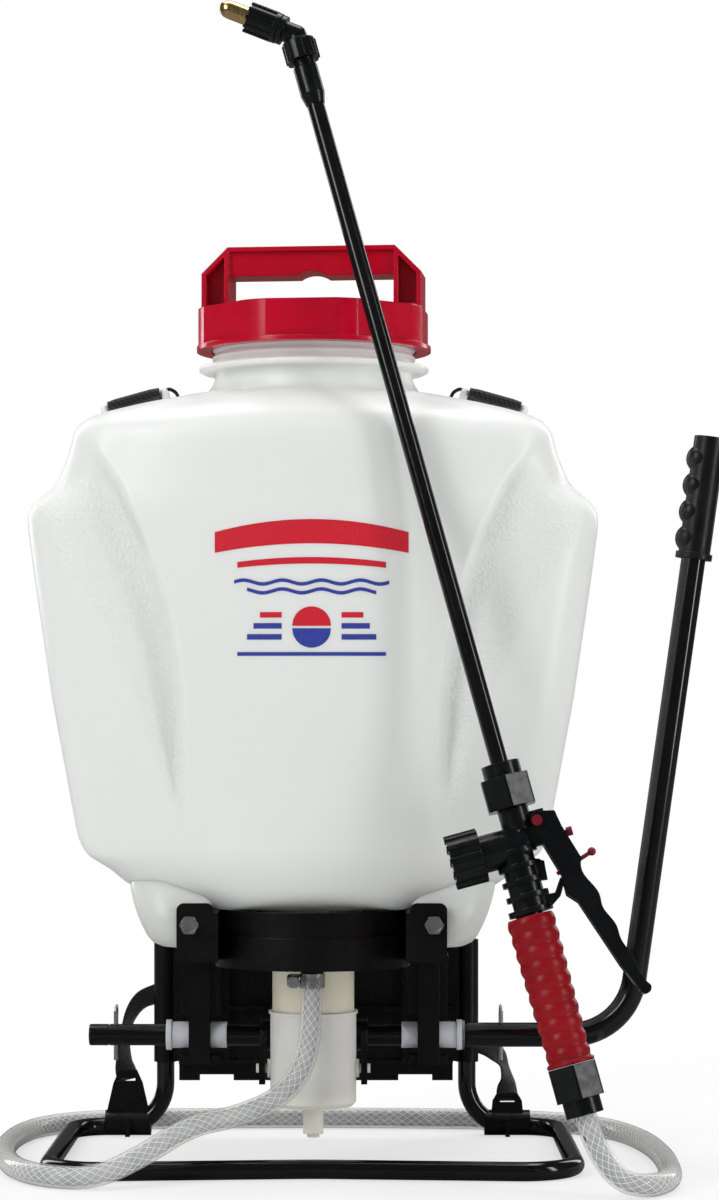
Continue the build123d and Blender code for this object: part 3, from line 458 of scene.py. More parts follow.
def valve_grip():
    """A turned sleeve of soft ridges over a rounded foot ring, hollow for the valve's shank."""
    foot = [(0.0140, 0), (0.0146, 0.0005), (0.0147, 0.0018), (0.0141, 0.0026), (0.0130, 0.0031)]
    profile = [(GRIP_BORE_R, GRIP_LOW)] + [(radius, GRIP_LOW + rise) for radius, rise in foot]
    start, end = GRIP_LOW + 0.0040, GRIP_HIGH - 0.0008
    for step in range(RIDGE_SAMPLES):
        z = start + (end - start) * step / (RIDGE_SAMPLES - 1)
        share = (z - GRIP_LOW) / (GRIP_HIGH - GRIP_LOW)
        wave = 0.5 + 0.5 * math.cos(2 * math.pi * (z - GRIP_HIGH + RIDGE_PITCH / 2) / RIDGE_PITCH)
        profile.append((GRIP_R + GRIP_FLARE * share + RIDGE_HEIGHT * wave ** 0.6, z))
    profile += [(0.0136, GRIP_HIGH), (GRIP_BORE_R, GRIP_HIGH)]
    around = 96
    verts = []
    for radius, z in profile:
        for k in range(around):
            angle = 2 * math.pi * k / around
            point = (GRIP_X + radius * math.cos(angle), radius * math.sin(angle), z)
            verts.append(WAND_PLACE @ Vector(point))
    return mesh_object("grip_sleeve", verts, ring_faces(len(profile), around))


grip = valve_grip()
dress(grip, red_grip)
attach(grip, "root")
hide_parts("valve_grip")

# ---- tank
# height, half width, middle of the front, middle of the back, back at the sides; millimetres
TANK_SECTIONS = np.array([
    (165.5, 112.0, -80.0, 62.0, 84.0), (169.0, 121.0, -88.0, 68.0, 96.0),
    (177.0, 127.5, -93.0, 73.0, 104.0), (193.0, 143.8, -95.5, 77.0, 110.0),
    (210.0, 150.0, -96.5, 79.0, 114.0), (297.0, 166.0, -99.0, 82.0, 118.0),
    (375.0, 177.5, -99.0, 84.0, 118.0), (413.0, 182.5, -98.5, 84.0, 116.0),
    (421.0, 180.0, -98.0, 84.0, 115.0), (434.0, 165.0, -97.5, 84.0, 113.0),
    (457.0, 155.0, -96.0, 83.0, 108.0), (466.0, 153.5, -95.0, 82.5, 106.0),
    (473.0, 150.0, -92.0, 81.5, 103.0), (477.5, 143.5, -88.5, 80.0, 99.0),
    (482.0, 130.0, -84.0, 77.0, 93.0), (488.0, 106.0, -78.0, 73.0, 84.0),
    (493.5, 78.0, -71.0, 69.0, 75.0),
])
SECTION_STEP = 2.2
SHOULDER_Z = 493.5
SHOULDER_RISE = 8.0
SHOULDER_RINGS = 14
# the front bulges by CROWN between its rounded corners
CROWN = 20.0
FRONT_R = 34.0
BACK_R = 16.0
WALL = 3.0
FLOOR_Z = 168.5
EDGE_RISE = 13.0
NECK_R = 65.5
THREAD_Z = 516.5
THREAD_PITCH = 6
VALLEY_DEPTH = 9.0
CREST_HEIGHT = 0.8
# points round each level of the tank
AROUND = 440
# the stippled valley's inner and outer edges on the front: height, distance from the middle
VALLEY_INNER = [(205, 77), (231, 77.5), (266, 77.5), (300, 78.5), (331, 82), (358, 88), (385, 97), (405, 105),
                (431, 117), (447, 127), (462, 138)]
VALLEY_OUTER = [(208, 80), (231, 89), (252, 97), (275, 105.5), (293, 112), (314, 120), (337, 131), (355, 140),
                (381, 157), (397, 168), (420, 180), (462, 200)]


def smooth_step(low, high, value):
    """0 below low, 1 above high, and an S curve between them."""
    t = np.clip((value - low) / (high - low), 0, 1)
    return t * t * (3 - 2 * t)


def within(value, low, full, fading, high):
    """1 from full to fading, and smoothly down to 0 at low and high."""
    return smooth_step(low, full, value) * (1 - smooth_step(fading, high, value))


def fillet_corner(before, corner, after, radius, count):
    """Points of the arc that rounds a corner."""
    u, v = (before - corner), (after - corner)
    u, v = u / np.linalg.norm(u), v / np.linalg.norm(v)
    half = math.acos(np.clip(np.dot(u, v), -1, 1)) / 2
    reach = radius / math.tan(half)
    centre = corner + (u + v) / np.linalg.norm(u + v) * radius / math.sin(half)
    start, end = corner + u * reach, corner + v * reach
    a0 = math.atan2(*(start - centre)[::-1])
    a1 = math.atan2(*(end - centre)[::-1])
    sweep = (a1 - a0 + math.pi) % (2 * math.pi) - math.pi
    angles = a0 + sweep * np.linspace(0, 1, count)
    return centre + radius * np.stack([np.cos(angles), np.sin(angles)], 1)


def bowed(start, end, sag, count):
    """A shallow arc in y from start to end, one of which is on the tank's middle, where it is sag deep."""
    line = start + (end - start) * np.linspace(0, 1, count)[:, None]
    share = line[:, 0] / max(start[0], end[0], 1e-6)
    line[:, 1] -= sag * (1 - share ** 2)
    return line


def tank_outline(half, front, back, back_side):
    """One level of the tank as AROUND points, evenly spaced, from the middle of the front to the right."""
    front_side = front + CROWN
    corner_f = np.array([half, front_side])
    corner_r = np.array([half, back_side])
    near = np.array([0.0, front_side])
    far = np.array([0.0, back_side])
    arc_f = fillet_corner(near, corner_f, corner_r, min(FRONT_R, half * 0.9), 24)
    arc_r = fillet_corner(corner_f, corner_r, far, BACK_R, 16)
    front_half = bowed(near, arc_f[0], CROWN, 60)
    rear_half = bowed(arc_r[-1], far, back_side - back, 60)
    right = np.concatenate([front_half, arc_f[1:-1], arc_r, rear_half[1:]])
    left = right[::-1] * np.array([-1, 1])
    loop = np.concatenate([right, left[1:]])
    reach = np.concatenate([[0], np.cumsum(np.linalg.norm(np.diff(loop, axis=0), axis=1))])
    at = np.linspace(0, reach[-1], AROUND, endpoint=False)
    loop = np.stack([np.interp(at, reach, loop[:, 0]), np.interp(at, reach, loop[:, 1])], 1)
    kernel = np.exp(-0.5 * (np.arange(-9, 10) / 3.5) ** 2)
    kernel /= kernel.sum()
    padded = np.concatenate([loop[-9:], loop, loop[:9]])
    return np.stack([np.convolve(padded[:, k], kernel, "valid") for k in (0, 1)], 1)


def inward(loop):
    """The inward normal at each point of a closed outline."""
    tangent = np.roll(loop, -1, 0) - np.roll(loop, 1, 0)
    tangent /= np.maximum(np.linalg.norm(tangent, axis=1), 1e-9)[:, None]
    return np.stack([-tangent[:, 1], tangent[:, 0]], 1)


def valley(x, z):
    """Depth of the valley and strength of its stipple at a point of the front."""
    ax = np.abs(x)
    inner = np.interp(z, *zip(*VALLEY_INNER))
    outer = np.interp(z, *zip(*VALLEY_OUTER))
    t = (ax - inner) / max(outer - inner, 1.0)
    crest = smooth_step(-3.5, 0.5, ax - inner) * (1 - smooth_step(0.5, 9.0, ax - inner))
    depth = smooth_step(-1.0, 10.0, ax - inner) * (1 - smooth_step(0.25, 1.05, t)) * VALLEY_DEPTH
    depth -= crest * CREST_HEIGHT
    depth *= within(z, 200, 290, 410, 468)
    stipple = smooth_step(0.0, 7.0, ax - inner) * (1 - smooth_step(0.88, 1.02, t))
    stipple *= within(z, 206, 225, 425, 452)
    return depth, stipple


def section_rows(step):
    """The tank's sections, evenly spaced along its side and smoothed."""
    table = TANK_SECTIONS
    reach = np.concatenate([[0], np.cumsum(np.hypot(np.diff(table[:, 0]), np.diff(table[:, 1])))])
    at = np.linspace(0, reach[-1], int(reach[-1] / step) + 1)
    rows = np.stack([np.interp(at, reach, table[:, k]) for k in range(5)], 1)
    width = 5
    kernel = np.exp(-0.5 * (np.arange(-width, width + 1) * step / 4.5) ** 2)
    kernel /= kernel.sum()
    top = 2 * rows[-1] - rows[-2:-2 - width:-1]
    bottom = 2 * rows[0] - rows[width:0:-1]
    padded = np.concatenate([bottom, rows, top])
    return np.stack([np.convolve(padded[:, k], kernel, "valid") for k in range(5)], 1)


def bottom_rise(x, z):
    """How far the tank's lower edge curves up towards its sides."""
    return EDGE_RISE * smooth_step(52, 132, np.abs(x)) * (1 - smooth_step(166, 214, z))


def tank_level(section, wall=0.0):
    """One level of the tank, wall inside its skin: its outline, its height at each point and its stipple."""
    z, *sizes = section
    loop = tank_outline(*sizes)
    depth, stipple = valley(loop[:, 0], z)
    # the valleys fade out towards the tank's sides
    facing = np.clip((-loop[:, 1] - 25) / 35, 0, 1)
    loop = loop + inward(loop) * (wall + depth * facing)[:, None]
    return loop, z + bottom_rise(loop[:, 0], z), stipple * facing


def tank_skin():
    """Rows of the tank from its floor up over the shoulders and the neck, and down inside as its wall."""
    rows, masks = [], []
    sections = section_rows(SECTION_STEP)
    for section in sections:
        loop, height, stipple = tank_level(section)
        rows.append(np.column_stack([loop, height]))
        masks.append(stipple)
    angle = np.linspace(0, 2 * math.pi, AROUND, endpoint=False)
    circle = np.stack([np.sin(angle), -np.cos(angle)], 1)
    shoulder = rows[-1]
    for share in np.linspace(0, 1, SHOULDER_RINGS)[1:]:
        eased = share ** 0.8
        flat = shoulder[:, :2] * (1 - eased) + circle * NECK_R * eased
        z = SHOULDER_Z + SHOULDER_RISE * share ** 2.2
        rows.append(np.column_stack([flat, np.full(AROUND, z)]))
    # the neck's foot, its collar, four turns of thread, the lip and the bore: radius, height
    profile = [(64.2, 505), (64, 508), (64.4, 509.3), (72.5, 509.4), (74.2, 510.2), (74.6, 511.2),
               (74.2, 512.3), (72.5, 512.9), (66.0, 513.6), (64.2, 515)]
    for turn in range(4):
        base = THREAD_Z + THREAD_PITCH * turn
        profile += [(64.1, base), (65.9, base + 1.3), (65.9, base + 2.5), (64.1, base + 3.8)]
    profile += [(64, 540.2), (63.2, 541), (60.2, 541), (59.5, 540.2), (59.5, 520), (59.5, 500)]
    for radius, z in profile:
        rows.append(np.column_stack([circle * radius, np.full(AROUND, z)]))
    for section in sections[::-4]:
        loop, height, _ = tank_level(section, WALL)
        height = np.maximum(height, FLOOR_Z) if section[0] < 400 else height - WALL
        rows.append(np.column_stack([loop, height]))
    masks += [np.zeros(AROUND)] * (len(rows) - len(masks))
    return rows, masks


def build_tank():
    """The tank's shell, which carries the strength of its stipple at each vertex."""
    rows, masks = tank_skin()
    tank = mesh_object("tank_shell", np.concatenate(rows) / 1000, tube_faces(len(rows), AROUND))
    layer = tank.data.attributes.new("stipple", "FLOAT", "POINT")
    layer.data.foreach_set("value", np.concatenate(masks).astype(np.float32))
    return tank


def rounded_box(name, size, place, radius, segments=3):
    """A box with rounded edges; size in metres."""
    work = bmesh.new()
    bmesh.ops.create_cube(work, size=1)
    bmesh.ops.scale(work, vec=size, verts=work.verts)
    bmesh.ops.bevel(work, geom=work.edges[:], offset=radius, segments=segments, affect="EDGES", profile=0.5)
    bmesh.ops.transform(work, matrix=place, verts=work.verts)
    data = bpy.data.meshes.new(name)
    work.to_mesh(data)
    work.free()
    for polygon in data.polygons:
        polygon.use_smooth = True
    return collect(bpy.data.objects.new(name, data))


def tank_foot(side):
    """A foot under one side of the tank, rounded towards the floor; millimetres."""
    # height, outer side, front, and how far the other two ends draw in
    levels = [(142.0, 91.0, -75.0, 12.0), (142.5, 95.5, -80.5, 7.0), (144.8, 100.5, -85.0, 3.0),
              (149.0, 104.0, -87.5, 0.8), (156.0, 107.5, -88.0, 0.0), (163.0, 110.5, -87.0, 0.0),
              (170.0, 113.0, -83.5, 0.0), (177.0, 115.0, -78.0, 0.0), (192.0, 117.0, -68.0, 0.0)]
    inner, back = 62.4, 117.0
    # each corner's way out in x and y, the angle its arc starts at and its radius
    corners = ((1, -1, -90, 26.0), (1, 1, 0, 14.0), (-1, 1, 90, 8.0), (-1, -1, 180, 8.0))
    loops = []
    for z, outer, front, ends in levels:
        x0, x1 = inner + ends * 0.5, outer
        y0, y1 = front, back - ends
        middle = np.array([(x0 + x1) / 2, (y0 + y1) / 2])
        extent = np.array([(x1 - x0) / 2, (y1 - y0) / 2])
        points = []
        for cx, cy, start, corner in corners:
            corner = min(corner, extent[0] * 1.5)
            centre = middle + (extent - corner) * np.array([cx, cy])
            for step in range(13):
                angle = math.radians(start + 90 * step / 12)
                points.append(centre + corner * np.array([math.cos(angle), math.sin(angle)]))
        loops.append(np.column_stack([np.array(points), np.full(len(points), z)]))
    verts = np.concatenate(loops) / 1000
    faces = tube_faces(len(loops), len(loops[0]))
    if side < 0:
        verts[:, 0] *= -1
        faces = [face[::-1] for face in faces]
    return mesh_object("foot", verts, faces)


# metres from here on
SHOULDER_LEAN = math.radians(15.5)
SHOULDER_X = 0.116
SHOULDER_TOP = 0.4855
LUG_Y = 0.030
LUG_BAR = (0.042, 0.014, 0.003)
LUG_POST = (0.0050, 0.018, 0.019)
LUG_POST_X = 0.0205
LUG_WIRE_R = 0.0012


def shoulder_place(side):
    """The frame of one sloped shoulder, where the strap is fixed."""
    lean = Matrix.Rotation(side * SHOULDER_LEAN, 4, "Y")
    return Matrix.Translation((side * SHOULDER_X, 0, SHOULDER_TOP)) @ lean


def lug_wire(side):
    """The bent wire that keeps the strap on the lug's inner end."""
    path = [(0.0985, 0.024, 0.4975), (0.0980, 0.024, 0.5005), (0.0955, 0.026, 0.5020),
            (0.0915, 0.028, 0.5000), (0.0900, 0.030, 0.4965), (0.0910, 0.031, 0.4935)]
    points = rounded_path([(side * x, y, z) for x, y, z in path], 6)
    points = [Vector(point) for point in points]
    wire = tube_mesh(f"lug_wire_{'left' if side < 0 else 'right'}", points, LUG_WIRE_R, 12)
    dress(wire, black_plastic)
    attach(wire, "root")


def strap_lug(side):
    """The moulded loop on one shoulder that the shoulder strap passes through."""
    lean = shoulder_place(side)
    parts = [rounded_box("lug", LUG_BAR, lean @ Matrix.Translation((0, LUG_Y, 0.0100)), 0.0012)]
    for end in (-1, 1):
        place = lean @ Matrix.Translation((end * LUG_POST_X, LUG_Y, 0.0020))
        parts.append(rounded_box("lug_post", LUG_POST, place, 0.0022))
    return parts


milk, tree, principled = shader("tank_milk", (0.84, 0.85, 0.85), 0.32, specular=0.45)
cloud = ramp(tree, noise(tree, 5, 1), (0.825, 0.84, 0.815), (0.855, 0.865, 0.845), (0.2, 0.8))
# painted shade: the base colour is darker towards the bottom, over the feet
height = tree.nodes.new("ShaderNodeSeparateXYZ")
tree.links.new(coordinates(tree), height.inputs["Vector"])
shade = tree.nodes.new("ShaderNodeMix")
shade.data_type = "RGBA"
shade.blend_type = "MULTIPLY"
shade.inputs["Factor"].default_value = 1.0
tree.links.new(cloud, shade.inputs[6])
painted_foot_shade = ramp(tree, height.outputs["Z"], (0.66, 0.67, 0.65), (1.0, 1.0, 1.0), (0.150, 0.205))
tree.links.new(painted_foot_shade, shade.inputs[7])
tree.links.new(shade.outputs[2], principled.inputs["Base Color"])
tree.links.new(ramp(tree, noise(tree, 14, 1), 0.30, 0.36, (0.2, 0.8)), principled.inputs["Roughness"])
principled.inputs["Subsurface Weight"].default_value = 0.35
principled.inputs["Subsurface Radius"].default_value = (1.0, 0.95, 0.9)
principled.inputs["Subsurface Scale"].default_value = 0.012
stipple_mask = tree.nodes.new("ShaderNodeAttribute")
stipple_mask.attribute_name = "stipple"
cells = tree.nodes.new("ShaderNodeTexVoronoi")
cells.inputs["Scale"].default_value = 520
tree.links.new(coordinates(tree), cells.inputs["Vector"])
grains = math_node(tree, "MULTIPLY", cells.outputs["Distance"], stipple_mask.outputs["Fac"])
soft = bump(tree, noise(tree, 70, 2), 0.12, 0.0006)
tree.links.new(bump(tree, grains, 0.75, 0.0007, soft), principled.inputs["Normal"])

tank = build_tank()
join_into(tank, [tank_foot(-1), tank_foot(1), *strap_lug(-1), *strap_lug(1)])
dress(tank, milk)
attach(tank, "root")
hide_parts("tank")

# ---- printed graphic
red_ink, tree, principled = shader("red_ink", (0.62, 0.01, 0.03), 0.35)
tree.links.new(ramp(tree, noise(tree, 900, 3), (0.56, 0.008, 0.024), (0.66, 0.012, 0.03)),
               principled.inputs["Base Color"])
blue_ink, tree, principled = shader("blue_ink", (0.03, 0.05, 0.33), 0.35)
tree.links.new(ramp(tree, noise(tree, 900, 3), (0.025, 0.04, 0.28), (0.035, 0.06, 0.37)),
               principled.inputs["Base Color"])
bpy.context.view_layer.update()
# the ink stands this far off the tank
PRINT_LIFT = 0.00025
DROP_R = 0.012


def printed(name, x0, x1, low, high, ink, steps=48, rows=6):
    """A patch of ink on the tank's front, between two curves over x."""
    verts, faces = [], []
    for i in range(steps + 1):
        x = x0 + (x1 - x0) * i / steps
        for j in range(rows + 1):
            z = low(x) + (high(x) - low(x)) * j / rows
            hit, place, _, _ = tank.ray_cast((x, -0.3, z), (0, 1, 0))
            verts.append((x, place.y - PRINT_LIFT if hit else -0.1, z))
    for i in range(steps):
        for j in range(rows):
            a = i * (rows + 1) + j
            faces.append((a, a + rows + 1, a + rows + 2, a + 1))
    piece = mesh_object(name, verts, faces)
    dress(piece, ink)
    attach(piece, "root")


def half_disc(x):
    """Height of the disc's edge above or below its middle, at x."""
    return math.sqrt(max(DROP_R * DROP_R - x * x, 0))


RULE_REACH = 0.046
printed("print_band", -0.060, 0.060, lambda x: 0.394 - 1.6 * x * x, lambda x: 0.409 - 2.2 * x * x, red_ink)
printed("print_rule_upper", -RULE_REACH, RULE_REACH, lambda x: 0.3815 - 1.2 * x * x,
        lambda x: 0.3855 - 1.4 * x * x, red_ink)
for number, (z, reach) in enumerate(((0.369, 0.048), (0.3635, 0.040))):
    printed(f"print_wave_{number}", -reach, reach, lambda x: z + 0.0012 * math.sin(x * 260),
            lambda x: z + 0.0022 + 0.0012 * math.sin(x * 260), blue_ink, 96, 2)
printed("print_drop_red", -DROP_R, DROP_R, lambda x: 0.343, lambda x: 0.343 + half_disc(x), red_ink)
printed("print_drop_blue", -DROP_R, DROP_R, lambda x: 0.3415 - half_disc(x), lambda x: 0.3415, blue_ink)
for side in (-1, 1):
    for number in range(3):
        z = 0.3345 + 0.0068 * number
        inner, outer = 0.0185, 0.040 - 0.004 * number
        x0, x1 = sorted((side * inner, side * outer))
        ink = red_ink if number == 2 else blue_ink
        printed(f"print_bar_{'left' if side < 0 else 'right'}_{number}", x0, x1, lambda x: z,
                lambda x: z + 0.0034, ink, 12, 2)
printed("print_rule_lower", -RULE_REACH, RULE_REACH, lambda x: 0.3245, lambda x: 0.3268, blue_ink)

# ---- straps
webbing, tree, principled = shader("webbing", (0.006, 0.006, 0.0065), 0.72, specular=0.2)
uv = coordinates(tree, "UV")
rib = tree.nodes.new("ShaderNodeTexWave")
rib.bands_direction = "Y"
rib.inputs["Scale"].default_value = 260
rib.inputs["Distortion"].default_value = 0.6
tree.links.new(uv, rib.inputs["Vector"])
twill = tree.nodes.new("ShaderNodeTexWave")
twill.bands_direction = "DIAGONAL"
twill.inputs["Scale"].default_value = 190
tree.links.new(uv, twill.inputs["Vector"])
threads = math_node(tree, "ADD", rib.outputs["Fac"], twill.outputs["Fac"])
web_tint = ramp(tree, math_node(tree, "MULTIPLY", threads, 0.5), (0.006, 0.006, 0.007),
                (0.022, 0.022, 0.023), (0.2, 0.8))
tree.links.new(web_tint, principled.inputs["Base Color"])
tree.links.new(bump(tree, threads, 0.8, 0.00025), principled.inputs["Normal"])
principled.inputs["Sheen Weight"].default_value = 0.25

pad_cloth, tree, principled = shader("pad_cloth", (0.008, 0.008, 0.0085), 0.8, specular=0.2)
basket = tree.nodes.new("ShaderNodeTexBrick")
basket.inputs["Scale"].default_value = 420
basket.inputs["Color1"].default_value = (0.020, 0.020, 0.021, 1)
basket.inputs["Color2"].default_value = (0.012, 0.012, 0.013, 1)
basket.inputs["Mortar"].default_value = (0.004, 0.004, 0.004, 1)
basket.inputs["Mortar Size"].default_value = 0.02
tree.links.new(coordinates(tree, "UV"), basket.inputs["Vector"])
tree.links.new(basket.outputs["Color"], principled.inputs["Base Color"])
tree.links.new(bump(tree, basket.outputs["Fac"], 0.5, 0.0002, bump(tree, noise(tree, 90), 0.3, 0.0008)),
               principled.inputs["Normal"])
principled.inputs["Sheen Weight"].default_value = 0.3


UPPER_WIDTH = 0.0352
UPPER_THICKNESS = 0.0018
LOWER_WIDTH = 0.0145
LOWER_THICKNESS = 0.0014
LOWER_X = 0.093
PAD_X = 0.102
PAD_WIDTH = 0.056
PAD_THICKNESS = 0.013
# the pad's middle line behind the tank, y and z
PAD_PATH = [(0.126, 0.4517), (0.137, 0.410), (0.141, 0.350), (0.136, 0.290), (0.125, 0.236)]


def rounded_path(points, per_span=10):
    """Catmull-Rom samples through vectors of any size."""
    points = [np.array(p, float) for p in points]
    ends = [2 * points[0] - points[1], *points, 2 * points[-1] - points[-2]]
    samples = []
    for i in range(1, len(ends) - 2):
        a, b, c, d = ends[i - 1:i + 3]
        for k in range(per_span):
            t = k / per_span
            samples.append(0.5 * (2 * b + (c - a) * t + (2 * a - 5 * b + 4 * c - d) * t * t
                                  + (3 * b - a - 3 * c + d) * t ** 3))
    samples.append(points[-1])
    return samples


def strip(name, points, sides, width, thickness, place=Matrix.Identity(4), columns=6):
    """Webbing along a path; sides says which way its width runs at each point."""
    run_points = rounded_path([(*p, *s) for p, s in zip(points, sides)])
    verts, uvs = [], []
    run = 0.0
    for i, sample in enumerate(run_points):
        point = Vector(sample[:3])
        before = Vector(run_points[max(i - 1, 0)][:3])
        after = Vector(run_points[min(i + 1, len(run_points) - 1)][:3])
        run += (point - before).length if i else 0
        along = (after - before).normalized()
        across = Vector(sample[3:])
        across = (across - along * across.dot(along)).normalized()
        out = along.cross(across)
        for layer in (-1, 1):
            for k in range(columns + 1):
                share = (k / columns * 2 - 1) * layer * -1
                edge = 0.35 if abs(share) > 0.99 else 1.0
                offset = across * (share * width / 2) + out * (layer * thickness / 2 * edge)
                verts.append(place @ (point + offset))
                uvs.append((share * width / 2, run))
    piece = mesh_object(name, verts, tube_faces(len(run_points), 2 * (columns + 1)), uvs=uvs)
    piece["run"] = run
    return dress(piece, webbing)


def pad_mesh(name, x):
    """A padded strap: crowned faces, a sewn channel near each edge and a bound rim."""
    samples = rounded_path(PAD_PATH, 14)
    total = sum(np.linalg.norm(b - a) for a, b in zip(samples, samples[1:]))
    around = 56
    verts, uvs = [], []
    run = 0.0
    for i, sample in enumerate(samples):
        before, after = samples[max(i - 1, 0)], samples[min(i + 1, len(samples) - 1)]
        run += np.linalg.norm(sample - before) if i else 0
        along = (after - before) / np.linalg.norm(after - before)
        out = np.array([-along[1], along[0]])
        end = min(run, total - run) / 0.022
        taper = math.sqrt(max(1 - (1 - min(end, 1)) ** 2, 0.0))
        half = PAD_WIDTH / 2 * (0.62 + 0.38 * taper)
        for k in range(around):
            angle = 2 * math.pi * k / around
            c, sn = math.cos(angle), math.sin(angle)
            across = half * math.copysign(abs(c) ** 0.45, c)
            seam = math.exp(-((abs(across) / half - 0.80) / 0.045) ** 2)
            rib_dip = 0.08 * (1 + math.cos(2 * math.pi * run / 0.055)) * (abs(across) < half * 0.72)
            height = PAD_THICKNESS / 2 * math.copysign(abs(sn) ** 0.6, sn) * (1 - 0.42 * seam - rib_dip)
            height *= 0.35 + 0.65 * taper
            point = sample + out * height
            verts.append((x + across, point[0], point[1]))
            uvs.append((across, run))
    return dress(mesh_object(name, verts, tube_faces(len(samples), around), uvs=uvs), pad_cloth)


def buckle(name, place, width, height):
    """A ladder buckle: two side rails and three bars."""
    parts = []
    for side in (-1, 1):
        rail = place @ Matrix.Translation((side * (width / 2 + 0.002), 0, 0))
        parts.append(rounded_box(name, (0.004, 0.005, height), rail, 0.0014))
    for level in (-1, 0, 1):
        bar = place @ Matrix.Translation((0, 0, level * (height / 2 - 0.002)))
        parts.append(rounded_box(name + "_bar", (width + 0.002, 0.004, 0.004), bar, 0.0012))
    piece = join_into(parts[0], parts[1:])
    piece.name = name
    dress(piece, black_plastic)
    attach(piece, "root")


for side in (-1, 1):
    lug_wire(side)

for side, hand in ((-1, "left"), (1, "right")):
    upper_path = [(0, 0.068, 0.0062), (0, 0.050, 0.0066), (0, 0.026, 0.0070), (0, 0.0205, 0.0078),
                  (0, 0.0190, 0.0100), (0, 0.0210, 0.0122), (0, 0.028, 0.0126), (0, 0.045, 0.0108),
                  (0, 0.068, 0.0082), (0, 0.088, 0.0068), (0, 0.100, 0.0036), (0, 0.112, -0.006),
                  (0, 0.121, -0.021), (0, 0.1275, -0.041)]
    upper = strip(f"strap_upper_{hand}", upper_path, [(1, 0, 0)] * len(upper_path), UPPER_WIDTH,
                  UPPER_THICKNESS, shoulder_place(side))
    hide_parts(f"strap_web_upper_{hand}")
    pad = pad_mesh(f"pad_{hand}", side * PAD_X)
    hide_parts(f"shoulder_pad_{hand}")
    if side < 0:
        down = [(-LOWER_X, 0.1235, 0.140), (-0.0935, 0.1225, 0.112), (-0.099, 0.121, 0.099),
                (-0.110, 0.1195, 0.0955), (-0.1205, 0.118, 0.091), (-0.1275, 0.1160, 0.0815),
                (-0.1315, 0.1135, 0.067), (-0.1315, 0.1085, 0.052), (-0.130, 0.1055, 0.043),
                (-0.1285, 0.1025, 0.0385)]
    else:
        down = [(LOWER_X, 0.1235, 0.120), (0.0935, 0.1225, 0.082), (0.100, 0.121, 0.066),
                (0.110, 0.1195, 0.0625), (0.119, 0.118, 0.0585), (0.1255, 0.1160, 0.0525),
                (0.1295, 0.1135, 0.045), (0.1315, 0.1085, 0.037), (0.1305, 0.1055, 0.030),
                (0.1305, 0.1025, 0.0240)]
    lower_path = [(side * LOWER_X, 0.1255, 0.262), (side * LOWER_X, 0.1245, 0.200)] + down
    # the webbing twists on its way down to the clip
    lower_sides = [(1, 0, 0)] * 3 + [
        (1, 0, side * 0.25), (0.6, 0.1, side * 0.95), (0.25, 0.35, side * 1.0), (0.25, 0.5, side * 0.8),
        (0.3, 0.7, side * 0.6), (0.4, 0.9, 0), (0.6, 0.7, 0), (1, 0.2, 0), (1, 0, 0)]
    lower = strip(f"strap_lower_{hand}", lower_path, lower_sides, LOWER_WIDTH, LOWER_THICKNESS)
    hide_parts(f"strap_web_lower_{hand}")
    for piece in (upper, pad, lower):
        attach(piece, "root")
    buckle(f"strap_buckle_{hand}", Matrix.Translation((side * 0.094, 0.1265, 0.232)), 0.026, 0.026)

# ---- hose clamp
CLAMP_Y = HOSE_ROUTE[0][1]
BAND_LOW = 0.117
BAND_HIGH = 0.126
BAND_INNER_R = 0.00712
BAND_OUTER_R = 0.0080
SLOT_DEPTH = 0.00045
# how far the slots stay from the band's edges, and how wide their sloped ends are
SLOT_MARGIN = 0.0019
SLOT_SLOPE = 0.0002


def clamp_band():
    """The worm-drive band: a strip with pressed slots round it."""
    count = 180
    slot_low, slot_high = BAND_LOW + SLOT_MARGIN, BAND_HIGH - SLOT_MARGIN
    levels = [(BAND_LOW, BAND_OUTER_R, 0), (slot_low, BAND_OUTER_R, 0),
              (slot_low + SLOT_SLOPE, BAND_OUTER_R, SLOT_DEPTH),
              (slot_high - SLOT_SLOPE, BAND_OUTER_R, SLOT_DEPTH),
              (slot_high, BAND_OUTER_R, 0), (BAND_HIGH, BAND_OUTER_R, 0),
              (BAND_HIGH, BAND_INNER_R, 0), (BAND_LOW, BAND_INNER_R, 0)]
    verts = []
    for z, level_r, depth in levels:
        for k in range(count):
            angle = 2 * math.pi * k / count
            radius = level_r - (depth if k % 5 in (0, 1) else 0)
            verts.append((radius * math.cos(angle), CLAMP_Y + radius * math.sin(angle), z))
    return mesh_object("clamp_band", verts, ring_faces(len(levels), count), smooth=False)


band = clamp_band()
HOUSING_SIZE = (0.0090, 0.0100, 0.0084)
HOUSING_MIDDLE = (-0.0114, -0.0725, 0.1215)
housing = rounded_box("clamp_housing", HOUSING_SIZE, Matrix.Translation(HOUSING_MIDDLE), 0.0022, 4)
join_into(band, [housing])
dress(band, clamp_steel)
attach(band, "root")
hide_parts("hose_clamp")


# ---- stage
# how much darker the floor and the room are in the object's gloss, and how bright the room is
FLOOR_GLOSS_DIM = 0.72
ROOM_GLOSS_DIM = 0.38
ROOM_LIGHT = 0.46
FLOOR_REACH = 6
FADE_DISTANCE = 1.4
AIM = (0, 0, 0.3)
floor_mat, tree, principled = shader("floor_pale", (0.9, 0.9, 0.9), 0.6)
path = tree.nodes.new("ShaderNodeLightPath")
level = math_node(tree, "MULTIPLY_ADD", path.outputs["Is Glossy Ray"], -FLOOR_GLOSS_DIM)
tree.links.new(ramp(tree, noise(tree, 3, 2), 0.90, 0.94), level.node.inputs[2])
tree.links.new(level, principled.inputs["Base Color"])
